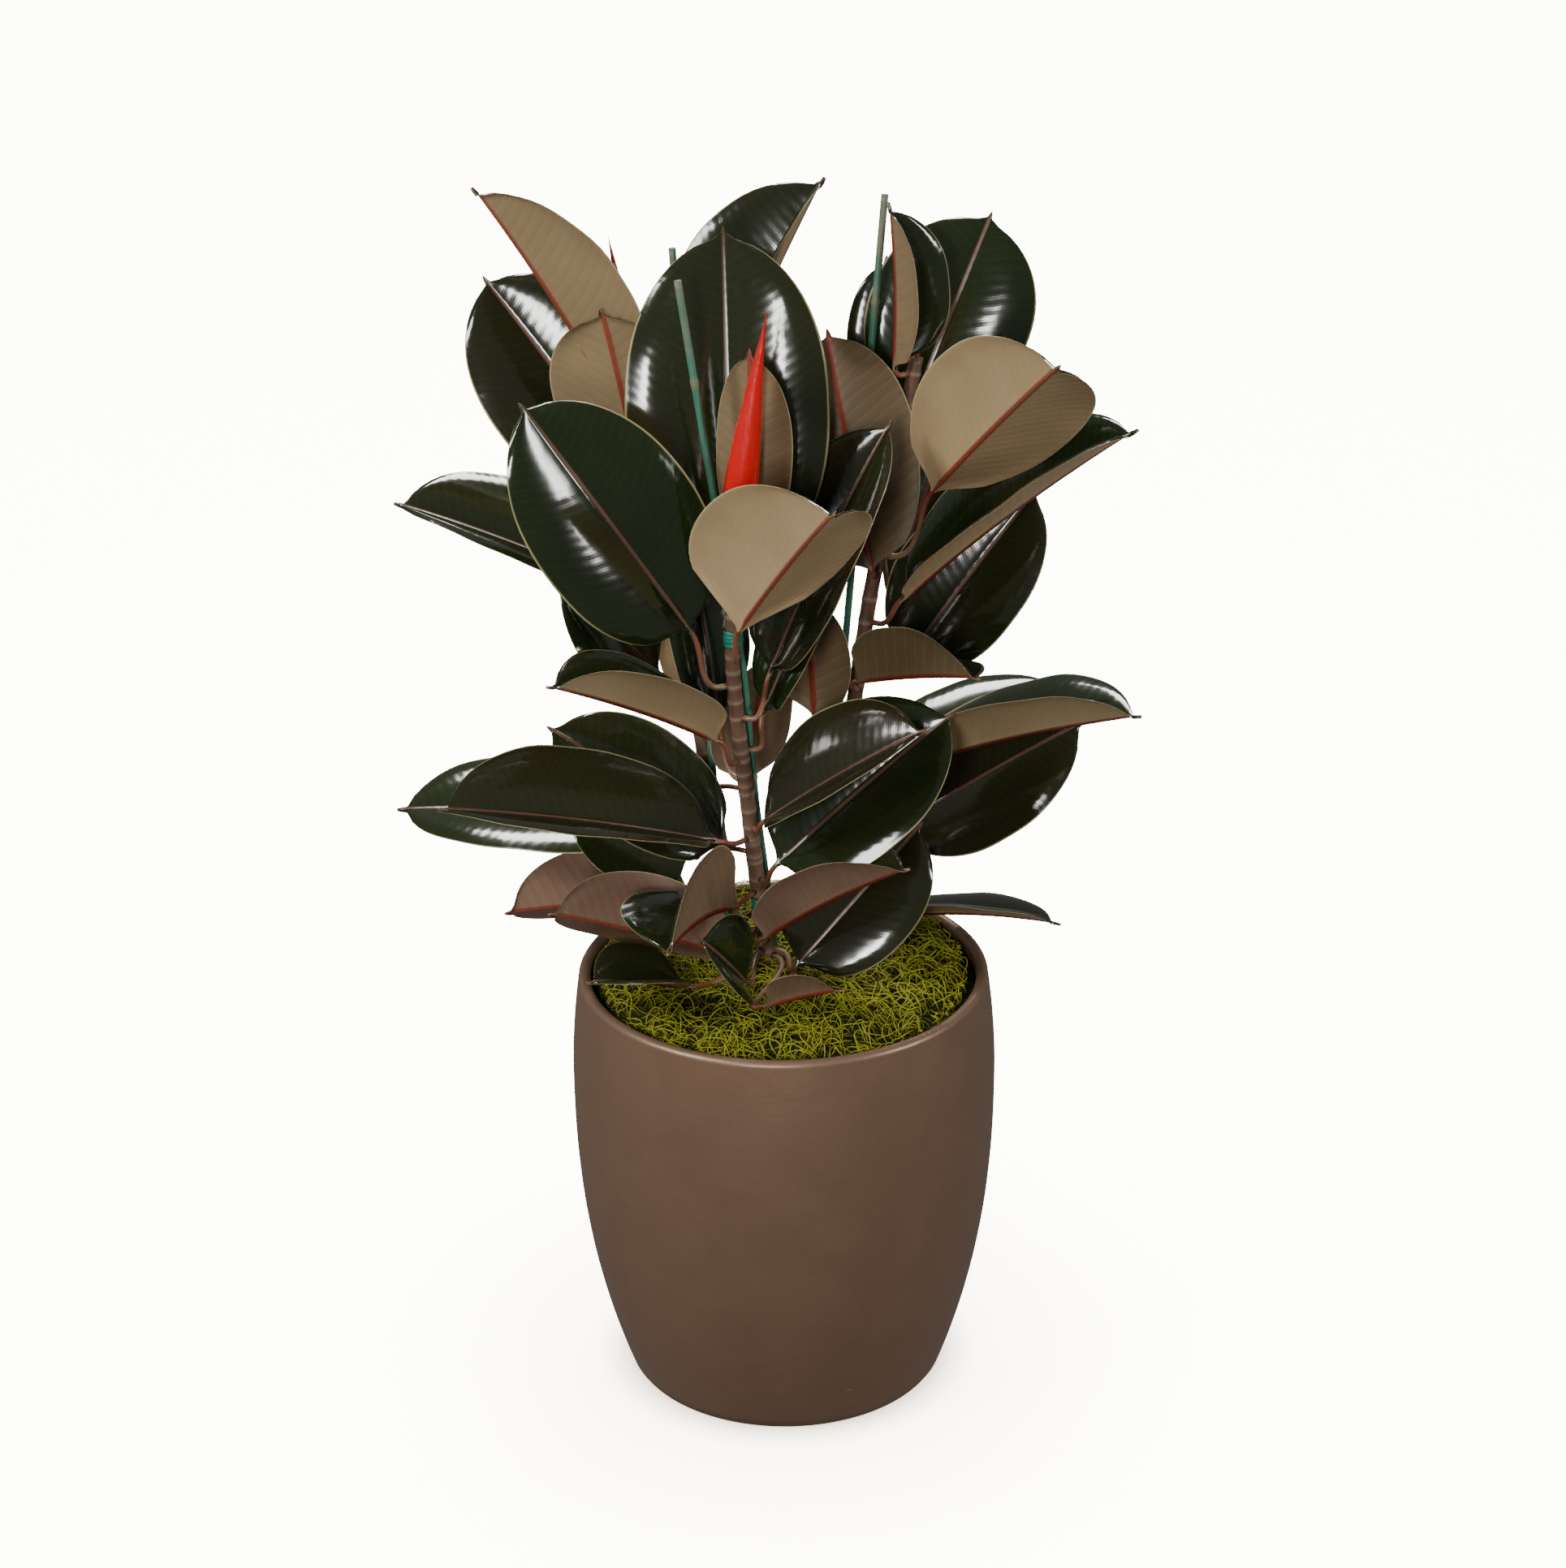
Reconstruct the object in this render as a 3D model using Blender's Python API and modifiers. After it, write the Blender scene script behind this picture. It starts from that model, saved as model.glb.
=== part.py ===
"""Rubber plant in a planter: three staked stems of a burgundy rubber plant, potted together.

Metres, +Z up. The origin is the centre of the planter's flat base.
Headings are degrees in plan, 0 along +X and 90 along +Y. Rises are degrees above level.
"""
from math import atan2, cos, log, pi, radians, sin

import bmesh
import bpy
from mathutils import Vector

# Fit between pieces that touch.
GAP = 0.0004

# Planter: a barrel-shaped shell on a flat base.
PLANTER_HEIGHT = 0.316
PLANTER_BASE_RADIUS = 0.1145
PLANTER_BELLY_RADIUS = 0.1525
PLANTER_RIM_RADIUS = 0.1462
PLANTER_BELLY_LEVEL = 0.75
PLANTER_LOWER_ROUNDNESS = 2.32
PLANTER_UPPER_ROUNDNESS = 1.9
PLANTER_WALL = 0.009
PLANTER_FLOOR = 0.012
PLANTER_FOOT_EDGE = 0.0018
PLANTER_SIDES = 48
PLANTER_LEVELS = 9
PLANTER_LIP_STEPS = 6

# Nursery pot: the thin tapered pot that the plant was grown in.
NURSERY_BELOW_RIM = 0.034
NURSERY_TOP_RADIUS = 0.125
NURSERY_BASE_RADIUS = 0.098
NURSERY_WALL = 0.002
NURSERY_FLOOR = 0.003
NURSERY_ROLLED_EDGE = 0.012
NURSERY_SIDES = 32

# Moss: a loose layer over the soil and the nursery pot's edge.
MOSS_BELOW_RIM = 0.007
MOSS_CROWN = 0.014
MOSS_TILT = 0.03
MOSS_CLEARANCE = 0.001
MOSS_STEPS = 5
MOSS_SIDES = 32

# Stems: centre lines as (x, y, height above the planter's rim), and radius at foot and top.
STEM_FOOT_RADIUS = 0.0064
STEM_TOP_RADIUS = 0.0048
HOLE_SIDES = 12
HOLE_OVERRUN = 0.01
STEM_LINES = {
    "front": [
        (-0.006, 0.003, -0.116), (-0.0115, -0.002, 0.020), (-0.019, -0.012, 0.084),
        (-0.0235, -0.018, 0.134), (-0.0285, -0.026, 0.184), (-0.033, -0.034, 0.240),
        (-0.033, -0.038, 0.276), (-0.030, -0.035, 0.317),
    ],
    "left": [
        (-0.028, 0.056, -0.116), (-0.039, 0.060, 0.025), (-0.055, 0.060, 0.140),
        (-0.068, 0.060, 0.224), (-0.081, 0.060, 0.304), (-0.095, 0.060, 0.390), (-0.107, 0.060, 0.467),
    ],
    "right": [
        (0.020, 0.044, -0.116), (0.031, 0.050, 0.025), (0.046, 0.050, 0.144),
        (0.062, 0.050, 0.261), (0.078, 0.060, 0.344), (0.095, 0.070, 0.433),
    ],
}

# Stakes: bamboo canes, as (x, y, height above the planter's rim) from foot to top.
STAKE_RADIUS = 0.0032
STAKE_LINES = {
    "front": [
        (-0.0005, 0.013, -0.130), (-0.0065, 0.0085, 0.020), (-0.0148, -0.005, 0.101),
        (-0.0185, -0.0095, 0.134), (-0.0255, -0.0275, 0.240), (-0.0325, -0.0283, 0.284),
        (-0.0372, -0.0275, 0.317), (-0.066, -0.020, 0.516),
    ],
    "left": [
        (-0.031, 0.0465, -0.130), (-0.0425, 0.0505, 0.025), (-0.0495, 0.0520, 0.134), (-0.0715, 0.065, 0.513),
    ],
    "right": [(0.018, 0.060, -0.130), (0.029, 0.064, 0.025), (0.073, 0.080, 0.545)],
}

# Ties: green tape wound once round the front stem and its stake.
TIE_THICKNESS = 0.0008
TIE_SLACK = 0.0003
TIE_ARC_POINTS = 7
TIE_LEVELS = {"tie_upper": (0.264, 0.011), "tie_lower": (0.046, 0.013)}

# Sheaths: the furled leaf spikes at the three tips: length, greatest radius, lean in x and y.
SHEATHS = {
    "front": (0.182, 0.0125, 0.023, 0.004),
    "left": (0.058, 0.0030, -0.008, 0.000),
    "right": (0.045, 0.0035, 0.004, 0.000),
}

# Outline of a sheath from near its point down to its foot: share of length, share of greatest radius.
SHEATH_OUTLINE = (
    (0.93, 0.09), (0.80, 0.30), (0.62, 0.60), (0.45, 0.84), (0.26, 1.0), (0.10, 0.78), (0.0, 0.36),
)
SHEATH_BEND = 1.5
SHEATH_SIDES = 10

# Leaves.
LEAF_THICKNESS = 0.0010
PETIOLE_WIDTH = 0.0044
PETIOLE_THICKNESS = 0.0038
PETIOLE_ROOT = 0.004
PETIOLE_JOIN = 0.6
PETIOLE_BEND = 0.35
PETIOLE_STATIONS = (0.0, 0.55)
DRIP_TIP = 0.012
DRIP_TIP_WIDTH = 0.007
DRIP_TIP_OVERLAP = 0.6
POINT_HALF_WIDTH = 0.0012
FOLD_FULL_WIDTH = 0.006
OVAL_SQUARENESS = 2.3
OVAL_FULLNESS = 0.58
BLADE_STATIONS = (0.0, 0.05, 0.16, 0.33, 0.52, 0.70, 0.85, 0.94, 1.0)


def leaf(name, stem, up, petiole, blade, width, roll=0, fold=12, arch=(0.03, 0.03), belly=0.5, root=None):
    """One leaf. petiole and blade are (length, heading, rise); up is its height above the planter's rim.

    roll turns the blade about its midrib, fold lifts each half, arch lifts the midrib off its chord near
    the base and near the tip, belly is the share of the length where it is widest, and root is the heading
    in which the stalk leaves the stem.
    """
    return dict(
        name=name, stem=stem, up=up, petiole=petiole, blade=blade, width=width, roll=roll,
        fold=fold, arch=arch, belly=belly, root=petiole[1] if root is None else root,
    )


LEAVES = [
    leaf("leaf_front_01", "front", 0.301, (0.034, 56, 63), (0.137, 63, 87), 0.060, 180, 15, root=60),
    leaf("leaf_front_02", "front", 0.285, (0.035, 92, 27), (0.238, 93, 74), 0.140, -2, 8, root=30),
    leaf("leaf_front_03", "front", 0.256, (0.045, -81, 43), (0.168, -57, 46), 0.138, -30, 38, belly=0.38),
    leaf("leaf_front_04", "front", 0.233, (0.055, -154, 55), (0.205, -167, 57), 0.120, -78, 14),
    leaf("leaf_front_05", "front", 0.208, (0.038, 37, 41), (0.195, 13, 64), 0.098, 24, 18, root=-30),
    leaf("leaf_front_06", "front", 0.181, (0.031, 52, 36), (0.152, 9, 64), 0.070, 20, 14, root=0),
    leaf("leaf_front_07", "front", 0.174, (0.037, -124, 40), (0.140, -155, 27), 0.095, 7, 43),
    leaf("leaf_front_08", "front", 0.154, (0.049, 127, 53), (0.132, 136, 77), 0.066, -10, 8),
    leaf("leaf_front_09", "front", 0.120, (0.029, -67, 27), (0.143, -18, 36), 0.100, 25, 28),
    leaf("leaf_front_10", "front", 0.110, (0.040, -130, 15), (0.197, -168, 13), 0.115, -14, 29),
    leaf("leaf_front_11", "front", 0.096, (0.025, 147, 0), (0.151, 171, 34), 0.090, -40, 12),
    leaf("leaf_front_12", "front", 0.077, (0.039, -64, 35), (0.164, 7, 41), 0.115, 40, 15),
    leaf("leaf_front_13", "front", 0.066, (0.031, -122, -2), (0.107, -116, 6), 0.110, 37, 47, (0.10, 0.06)),
    leaf("leaf_front_14", "front", 0.036, (0.034, -124, -24), (0.149, -163, 22), 0.090, 80, 48),
    leaf("leaf_front_15", "front", 0.029, (0.050, -92, 22), (0.143, -31, 35), 0.083, -5, 45),
    leaf("leaf_front_16", "front", 0.016, (0.047, -64, 8), (0.135, 26, 42), 0.092, 55, 12, root=-30),
    leaf("leaf_front_17", "front", 0.016, (0.058, -104, 0), (0.076, -129, 47), 0.070, -60, 25, root=-120),
    leaf("leaf_front_18", "front", 0.012, (0.086, -92, 1), (0.060, -12, 18), 0.055, -40, 20, root=-50),
    leaf("leaf_front_19", "front", 0.010, (0.079, -135, 3), (0.078, -157, 14), 0.080, 0, 25),
    leaf("leaf_left_01", "left", 0.344, (0.052, -165, 69), (0.193, 177, 59), 0.120, 34, 34),
    leaf("leaf_left_02", "left", 0.324, (0.024, -126, 45), (0.141, -162, 79), 0.120, 50, 10),
    leaf("leaf_left_03", "left", 0.304, (0.045, 117, 38), (0.184, 163, 52), 0.120, -55, 10),
    leaf("leaf_left_04", "left", 0.284, (0.074, 65, 54), (0.221, 31, 61), 0.135, 3, 44),
    leaf("leaf_left_05", "left", 0.214, (0.054, -163, 60), (0.191, -178, 24), 0.115, -12, 24),
    leaf("leaf_left_06", "left", 0.189, (0.057, -118, 33), (0.125, -142, 47), 0.092, -60, 8, root=190),
    leaf("leaf_left_07", "left", 0.164, (0.031, -90, 57), (0.077, -137, 76), 0.044, 41, 6),
    leaf("leaf_left_08", "left", 0.114, (0.030, -20, 14), (0.103, -11, 82), 0.072, -43, 8, root=10),
    leaf("leaf_left_09", "left", 0.099, (0.023, 162, -32), (0.210, -179, 3), 0.115, -14, 8),
    leaf("leaf_left_10", "left", 0.069, (0.039, -122, 8), (0.107, -161, 27), 0.088, -40, 8, root=210),
    leaf("leaf_left_11", "left", 0.029, (0.027, -147, 4), (0.144, -162, 5), 0.085, 80, 45),
    leaf("leaf_right_01", "right", 0.422, (0.017, -146, 19), (0.118, 180, 88), 0.080, -26, 48),
    leaf("leaf_right_02", "right", 0.384, (0.039, 111, -12), (0.116, 83, 75), 0.052, 0, 6),
    leaf("leaf_right_03", "right", 0.364, (0.038, 70, 39), (0.148, 35, 62), 0.115, 50, 6),
    leaf("leaf_right_04", "right", 0.294, (0.073, -38, 51), (0.186, -55, 43), 0.122, -46, 28, root=-20),
    leaf("leaf_right_05", "right", 0.290, (0.058, 74, -38), (0.112, 53, 55), 0.090, 30, 10),
    leaf("leaf_right_06", "right", 0.284, (0.026, -96, 16), (0.174, -31, 102), 0.101, -42, 4),
    leaf("leaf_right_07", "right", 0.246, (0.037, -32, 37), (0.209, -11, 40), 0.120, 7, 29),
    leaf("leaf_right_08", "right", 0.229, (0.037, 18, -30), (0.156, 9, 53), 0.100, 50, 12),
    leaf("leaf_right_09", "right", 0.199, (0.033, -92, 24), (0.113, -40, 16), 0.090, -34, 34),
    leaf("leaf_right_10", "right", 0.149, (0.039, -150, 47), (0.100, -154, 85), 0.060, 41, 6),
    leaf("leaf_right_11", "right", 0.139, (0.049, -24, 6), (0.176, -17, 19), 0.115, -12, 36),
    leaf("leaf_right_12", "right", 0.129, (0.062, 61, -23), (0.157, 19, 17), 0.100, 10, 12),
    leaf("leaf_right_13", "right", 0.114, (0.049, 0, -35), (0.158, -4, 33), 0.115, 40, 8),
    leaf("leaf_right_14", "right", 0.034, (0.042, -15, -19), (0.131, -9, 1), 0.090, -19, 15, (0.05, 0.05)),
]


def start_scene():
    """Empties the scene and makes the collection for the object and the one for its cutters."""
    for old in list(bpy.data.objects):
        bpy.data.objects.remove(old)
    made = []
    for name in ("rubber_plant_in_planter", "cutters"):
        collection = bpy.data.collections.new(name)
        bpy.context.scene.collection.children.link(collection)
        made.append(collection)
    return made


def finish(name, colour, roughness, metallic=0.0):
    material = bpy.data.materials.new(name)
    material.use_nodes = True
    shader = material.node_tree.nodes["Principled BSDF"]
    shader.inputs["Base Color"].default_value = (*colour, 1.0)
    shader.inputs["Roughness"].default_value = roughness
    shader.inputs["Metallic"].default_value = metallic
    material.diffuse_color = (*colour, 1.0)
    return material


def add_object(name, data, material, collection):
    made = bpy.data.objects.new(name, data)
    data.materials.append(material)
    collection.objects.link(made)
    return made


def mesh_from(builder, name):
    mesh = bpy.data.meshes.new(name)
    builder.to_mesh(mesh)
    builder.free()
    return mesh


def turned(name, profile, sides, material, collection):
    """A solid turned about Z. The profile runs from the axis round to the axis, down its outer side."""
    builder = bmesh.new()
    points = [builder.verts.new((radius, 0.0, level)) for radius, level in profile]
    for start, end in zip(points, points[1:]):
        builder.edges.new((start, end))
    made = add_object(name, mesh_from(builder, name), material, collection)
    screw = made.modifiers.new("turn", "SCREW")
    screw.steps = sides
    screw.render_steps = sides
    screw.use_merge_vertices = True
    screw.merge_threshold = 0.0001
    screw.use_smooth_shade = True
    return made


def planter_outer(level):
    """Outer radius of the planter at a level above its base."""
    belly = PLANTER_BELLY_LEVEL * PLANTER_HEIGHT
    if level <= belly:
        share = ((belly - level) / belly) ** PLANTER_LOWER_ROUNDNESS
        return PLANTER_BELLY_RADIUS - (PLANTER_BELLY_RADIUS - PLANTER_BASE_RADIUS) * share
    share = ((level - belly) / (PLANTER_HEIGHT - belly)) ** PLANTER_UPPER_ROUNDNESS
    return PLANTER_BELLY_RADIUS - (PLANTER_BELLY_RADIUS - PLANTER_RIM_RADIUS) * share


def planter_inner(level):
    return planter_outer(level) - PLANTER_WALL


def make_planter(collection):
    lip = PLANTER_WALL / 2
    lip_level = PLANTER_HEIGHT - lip
    inner = [(0.0, PLANTER_FLOOR)]
    for step in range(PLANTER_LEVELS - 2):
        level = PLANTER_FLOOR + (lip_level - PLANTER_FLOOR) * step / (PLANTER_LEVELS - 3)
        inner.append((planter_inner(level), level))
    centre = planter_outer(lip_level) - lip
    rim = []
    for step in range(1, PLANTER_LIP_STEPS):
        angle = pi - pi * step / PLANTER_LIP_STEPS
        rim.append((centre + lip * cos(angle), lip_level + lip * sin(angle)))
    outer = []
    for step in range(PLANTER_LEVELS + 1):
        level = lip_level + (PLANTER_FOOT_EDGE - lip_level) * step / PLANTER_LEVELS
        outer.append((planter_outer(level), level))
    base = [(PLANTER_BASE_RADIUS - PLANTER_FOOT_EDGE, 0.0), (0.0, 0.0)]
    bronze = finish("satin_bronze", (0.105, 0.068, 0.045), 0.35, 0.3)
    turned("planter", inner + rim + outer + base, PLANTER_SIDES, bronze, collection)


def nursery_top():
    return PLANTER_HEIGHT - NURSERY_BELOW_RIM


def nursery_bottom():
    return PLANTER_FLOOR + GAP


def nursery_radius(level):
    """Outer radius of the nursery pot's wall at a level above the planter's base."""
    share = (level - nursery_bottom()) / (nursery_top() - nursery_bottom())
    return NURSERY_BASE_RADIUS + (NURSERY_TOP_RADIUS - NURSERY_BASE_RADIUS) * share


def make_nursery_pot(collection):
    bottom, top = nursery_bottom(), nursery_top()
    floor = bottom + NURSERY_FLOOR
    under_edge = top - NURSERY_ROLLED_EDGE
    profile = [
        (0.0, floor),
        (nursery_radius(floor) - NURSERY_WALL, floor),
        (nursery_radius(top) - NURSERY_WALL, top),
        (nursery_radius(top) + NURSERY_WALL, top),
        (nursery_radius(top) + NURSERY_WALL, under_edge),
        (nursery_radius(under_edge), under_edge),
        (nursery_radius(bottom), bottom),
        (0.0, bottom),
    ]
    black = finish("black_plastic", (0.02, 0.02, 0.02), 0.5)
    turned("nursery_pot", profile, NURSERY_SIDES, black, collection)


def plant_point(point):
    """A point of a stem or stake line, given by its height above the planter's rim."""
    return Vector((point[0], point[1], PLANTER_HEIGHT + point[2]))


def make_soil(collection):
    bottom = nursery_bottom() + NURSERY_FLOOR + GAP
    top = nursery_top() - GAP
    inset = NURSERY_WALL + 3 * GAP
    profile = [
        (0.0, top),
        (nursery_radius(top) - inset, top),
        (nursery_radius(bottom) - inset, bottom),
        (0.0, bottom),
    ]
    dark = finish("dark_soil", (0.03, 0.02, 0.013), 0.95)
    return turned("potting_soil", profile, NURSERY_SIDES, dark, collection)


def make_moss(collection):
    """A domed, slightly tilted layer that fills the planter's mouth."""
    bottom = nursery_top() + GAP
    edge_top = PLANTER_HEIGHT - MOSS_BELOW_RIM
    highest_edge = edge_top + MOSS_TILT * planter_inner(edge_top)
    edge = min(planter_inner(bottom), planter_inner(highest_edge)) - MOSS_CLEARANCE
    profile = []
    for step in range(MOSS_STEPS):
        radius = edge * step / MOSS_STEPS
        profile.append((radius, edge_top + MOSS_CROWN * (1 - (radius / edge) ** 2)))
    profile.append((edge, edge_top))
    profile.append((edge, bottom))
    profile.append((0.0, bottom))
    green = finish("moss", (0.13, 0.16, 0.02), 0.9)
    moss = turned("moss_topdressing", profile, MOSS_SIDES, green, collection)
    settled = bpy.data.meshes.new_from_object(moss.evaluated_get(bpy.context.evaluated_depsgraph_get()))
    moss.modifiers.clear()
    moss.data = settled
    for vertex in settled.vertices:
        if vertex.co.z > bottom + MOSS_CLEARANCE:
            vertex.co.z += MOSS_TILT * vertex.co.y
    return moss


def line_curve(name, points, radii, material, collection):
    """A round rod along a line of points, its ends filled."""
    curve = bpy.data.curves.new(name, "CURVE")
    curve.dimensions = "3D"
    curve.bevel_depth = 1.0
    curve.bevel_resolution = 2
    curve.use_fill_caps = True
    spline = curve.splines.new("POLY")
    spline.points.add(len(points) - 1)
    for target, point, radius in zip(spline.points, points, radii):
        target.co = (*point, 1.0)
        target.radius = radius
    return add_object(name, curve, material, collection)


def stem_radius(stem, level):
    line = STEM_LINES[stem]
    foot, top = line[0][2], line[-1][2]
    share = (level - foot) / (top - foot)
    return STEM_FOOT_RADIUS + (STEM_TOP_RADIUS - STEM_FOOT_RADIUS) * share


def along(line, up):
    """The point at a height above the rim on a line of points, and the line's direction there."""
    for start, end in zip(line, line[1:]):
        if up <= end[2] or end is line[-1]:
            share = (up - start[2]) / (end[2] - start[2])
            return plant_point(start).lerp(plant_point(end), share), plant_point(end) - plant_point(start)


def clear_of_stem(name):
    """A stake's line with each point moved out from its stem where the two would otherwise touch."""
    line = []
    for x, y, level in STAKE_LINES[name]:
        stem_centre, _ = along(STEM_LINES[name], level)
        away = plant_point((x, y, level)) - stem_centre
        away.z = 0.0
        needed = stem_radius(name, level) + STAKE_RADIUS + GAP
        if away.length < needed:
            away = away.normalized() * needed
        line.append((stem_centre.x + away.x, stem_centre.y + away.y, level))
    return line


def drill(target, line, radius, collection):
    """Cuts the hole for a stem or a stake, along the straight stretch that the line makes in the pot."""
    foot, neck = plant_point(line[0]), plant_point(line[1])
    along_hole = (neck - foot).normalized()
    start = foot - along_hole * GAP
    end = neck + along_hole * HOLE_OVERRUN
    builder = bmesh.new()
    bmesh.ops.create_cone(
        builder, cap_ends=True, segments=HOLE_SIDES, radius1=radius, radius2=radius, depth=(end - start).length
    )
    made = bpy.data.objects.new(f"{target.name}_hole", mesh_from(builder, "hole"))
    made.location = (start + end) / 2
    made.rotation_mode = "QUATERNION"
    made.rotation_quaternion = along_hole.to_track_quat("Z", "Y")
    made.hide_render = True
    made.display_type = "WIRE"
    collection.objects.link(made)
    cut = target.modifiers.new("hole", "BOOLEAN")
    cut.operation = "DIFFERENCE"
    cut.solver = "EXACT"
    cut.object = made


def make_stems(collection):
    bark = finish("brown_bark", (0.16, 0.095, 0.06), 0.6)
    for stem, line in STEM_LINES.items():
        radii = [stem_radius(stem, point[2]) for point in line]
        line_curve(f"stem_{stem}", [plant_point(point) for point in line], radii, bark, collection)


def make_stakes(stake_lines, collection):
    cane = finish("green_bamboo", (0.06, 0.22, 0.13), 0.55)
    for stake, line in stake_lines.items():
        points = [plant_point(point) for point in line]
        line_curve(f"stake_{stake}", points, [STAKE_RADIUS] * len(points), cane, collection)


def band_outline(first, first_radius, second, second_radius, count):
    """Points of a belt in plan round two circles, each count points on its own outer side."""
    away = atan2(first.y - second.y, first.x - second.x)
    points = []
    for centre, radius, facing in ((first, first_radius, away), (second, second_radius, away + pi)):
        for step in range(count):
            angle = facing - pi / 2 + pi * step / (count - 1)
            points.append(Vector((centre.x + radius * cos(angle), centre.y + radius * sin(angle), centre.z)))
    return points


def make_ties(stake_line, collection):
    tape = finish("green_tape", (0.0, 0.18, 0.11), 0.4)
    clearance = GAP + TIE_THICKNESS / 2 + TIE_SLACK
    for name, (up, height) in TIE_LEVELS.items():
        builder = bmesh.new()
        rings = []
        for level in (up, up + height):
            stem_centre = along(STEM_LINES["front"], level)[0]
            stake_centre = along(stake_line, level)[0]
            stem_reach = stem_radius("front", level) + clearance
            stake_reach = STAKE_RADIUS + clearance
            outline = band_outline(stem_centre, stem_reach, stake_centre, stake_reach, TIE_ARC_POINTS)
            ring = [builder.verts.new(point) for point in outline]
            rings.append([builder.edges.new((ring[k - 1], ring[k])) for k in range(len(ring))])
        bmesh.ops.bridge_loops(builder, edges=rings[0] + rings[1])
        bmesh.ops.recalc_face_normals(builder, faces=builder.faces)
        tie = add_object(name, mesh_from(builder, name), tape, collection)
        wall = tie.modifiers.new("wall", "SOLIDIFY")
        wall.thickness = TIE_THICKNESS
        wall.offset = 0.0


def make_sheaths(collection):
    """Furled spikes: turned, fattest a third of the way up, drawn to a fine point and leaning a little."""
    reds = {"front": (0.75, 0.015, 0.02), "left": (0.25, 0.02, 0.02), "right": (0.45, 0.02, 0.02)}
    for stem, (length, radius, lean_x, lean_y) in SHEATHS.items():
        foot = plant_point(STEM_LINES[stem][-1]) + Vector((0.0, 0.0, 3 * GAP))
        profile = [(0.0, length)]
        for share, swell in SHEATH_OUTLINE:
            profile.append((radius * swell, length * share))
        profile.append((0.0, 0.0))
        red = finish(f"sheath_{stem}_red", reds[stem], 0.35)
        sheath = turned(f"sheath_{stem}", profile, SHEATH_SIDES, red, collection)
        settled = bpy.data.meshes.new_from_object(sheath.evaluated_get(bpy.context.evaluated_depsgraph_get()))
        sheath.modifiers.clear()
        sheath.data = settled
        for vertex in settled.vertices:
            bend = (vertex.co.z / length) ** SHEATH_BEND
            vertex.co += foot + Vector((lean_x * bend, lean_y * bend, 0.0))


def direction(heading, rise):
    heading, rise = radians(heading), radians(rise)
    return Vector((cos(heading) * cos(rise), sin(heading) * cos(rise), sin(rise)))


def bezier(points, share):
    """Point and tangent on a cubic Bezier curve."""
    a, b, c, d = points
    rest = 1 - share
    point = a * rest ** 3 + b * 3 * rest ** 2 * share + c * 3 * rest * share ** 2 + d * share ** 3
    tangent = (b - a) * rest ** 2 + (c - b) * 2 * rest * share + (d - c) * share ** 2
    return point, tangent.normalized()


def blade_half_width(share, length, width, belly):
    """Half the blade's width at a share of its length: a blunt oval that ends in a narrow drip tip."""
    oval_end = 1 - DRIP_TIP_OVERLAP * DRIP_TIP / length
    along_oval = min(share / oval_end, 1.0) ** (log(0.5) / log(belly))
    oval = width / 2 * max(0.0, 1 - abs(2 * along_oval - 1) ** OVAL_SQUARENESS) ** OVAL_FULLNESS
    tip = DRIP_TIP_WIDTH / 2 * min(1.0, (1 - share) * length / DRIP_TIP) + POINT_HALF_WIDTH
    if share < 0.5:
        return max(oval, PETIOLE_WIDTH / 2)
    return max(oval, tip)


def leaf_frame(plan):
    """The blade's base, its direction and the direction that its upper side faces."""
    centre, _ = along(STEM_LINES[plan["stem"]], plan["up"])
    base = centre + direction(*plan["petiole"][1:]) * plan["petiole"][0]
    length, heading, rise = plan["blade"]
    forward = direction(heading, rise)
    upward = direction(heading, rise + 90)
    sideways = forward.cross(upward)
    roll = radians(plan["roll"])
    return centre, base, forward, upward * cos(roll) + sideways * sin(roll)


def leaf_sections(plan):
    """Cross-sections from the stem to the tip: centre, tangent, facing, half width and share of the blade."""
    centre, base, forward, facing = leaf_frame(plan)
    length = plan["blade"][0]
    out = direction(plan["root"], 0)
    start = centre + out * (stem_radius(plan["stem"], plan["up"]) + 1.5 * GAP)
    collar = start + out * PETIOLE_ROOT
    reach = (base - collar).length
    stalk = (collar, collar + out * reach * PETIOLE_BEND, base - forward * reach * PETIOLE_BEND, base)
    near, far = plan["arch"]
    midrib = (
        base,
        base + forward * length / 3 + facing * near * length,
        base + forward * length * 2 / 3 + facing * far * length,
        base + forward * length,
    )
    sections = [(start, out, facing, PETIOLE_WIDTH / 2, 0.0)]
    for share in PETIOLE_STATIONS:
        point, tangent = bezier(stalk, share)
        sections.append((point, tangent, facing, PETIOLE_WIDTH / 2, 0.0))
    for share in BLADE_STATIONS:
        point, tangent = bezier(midrib, share)
        width = blade_half_width(share, length, plan["width"], plan["belly"])
        sections.append((point, tangent, facing, width, share))
    return sections


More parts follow.
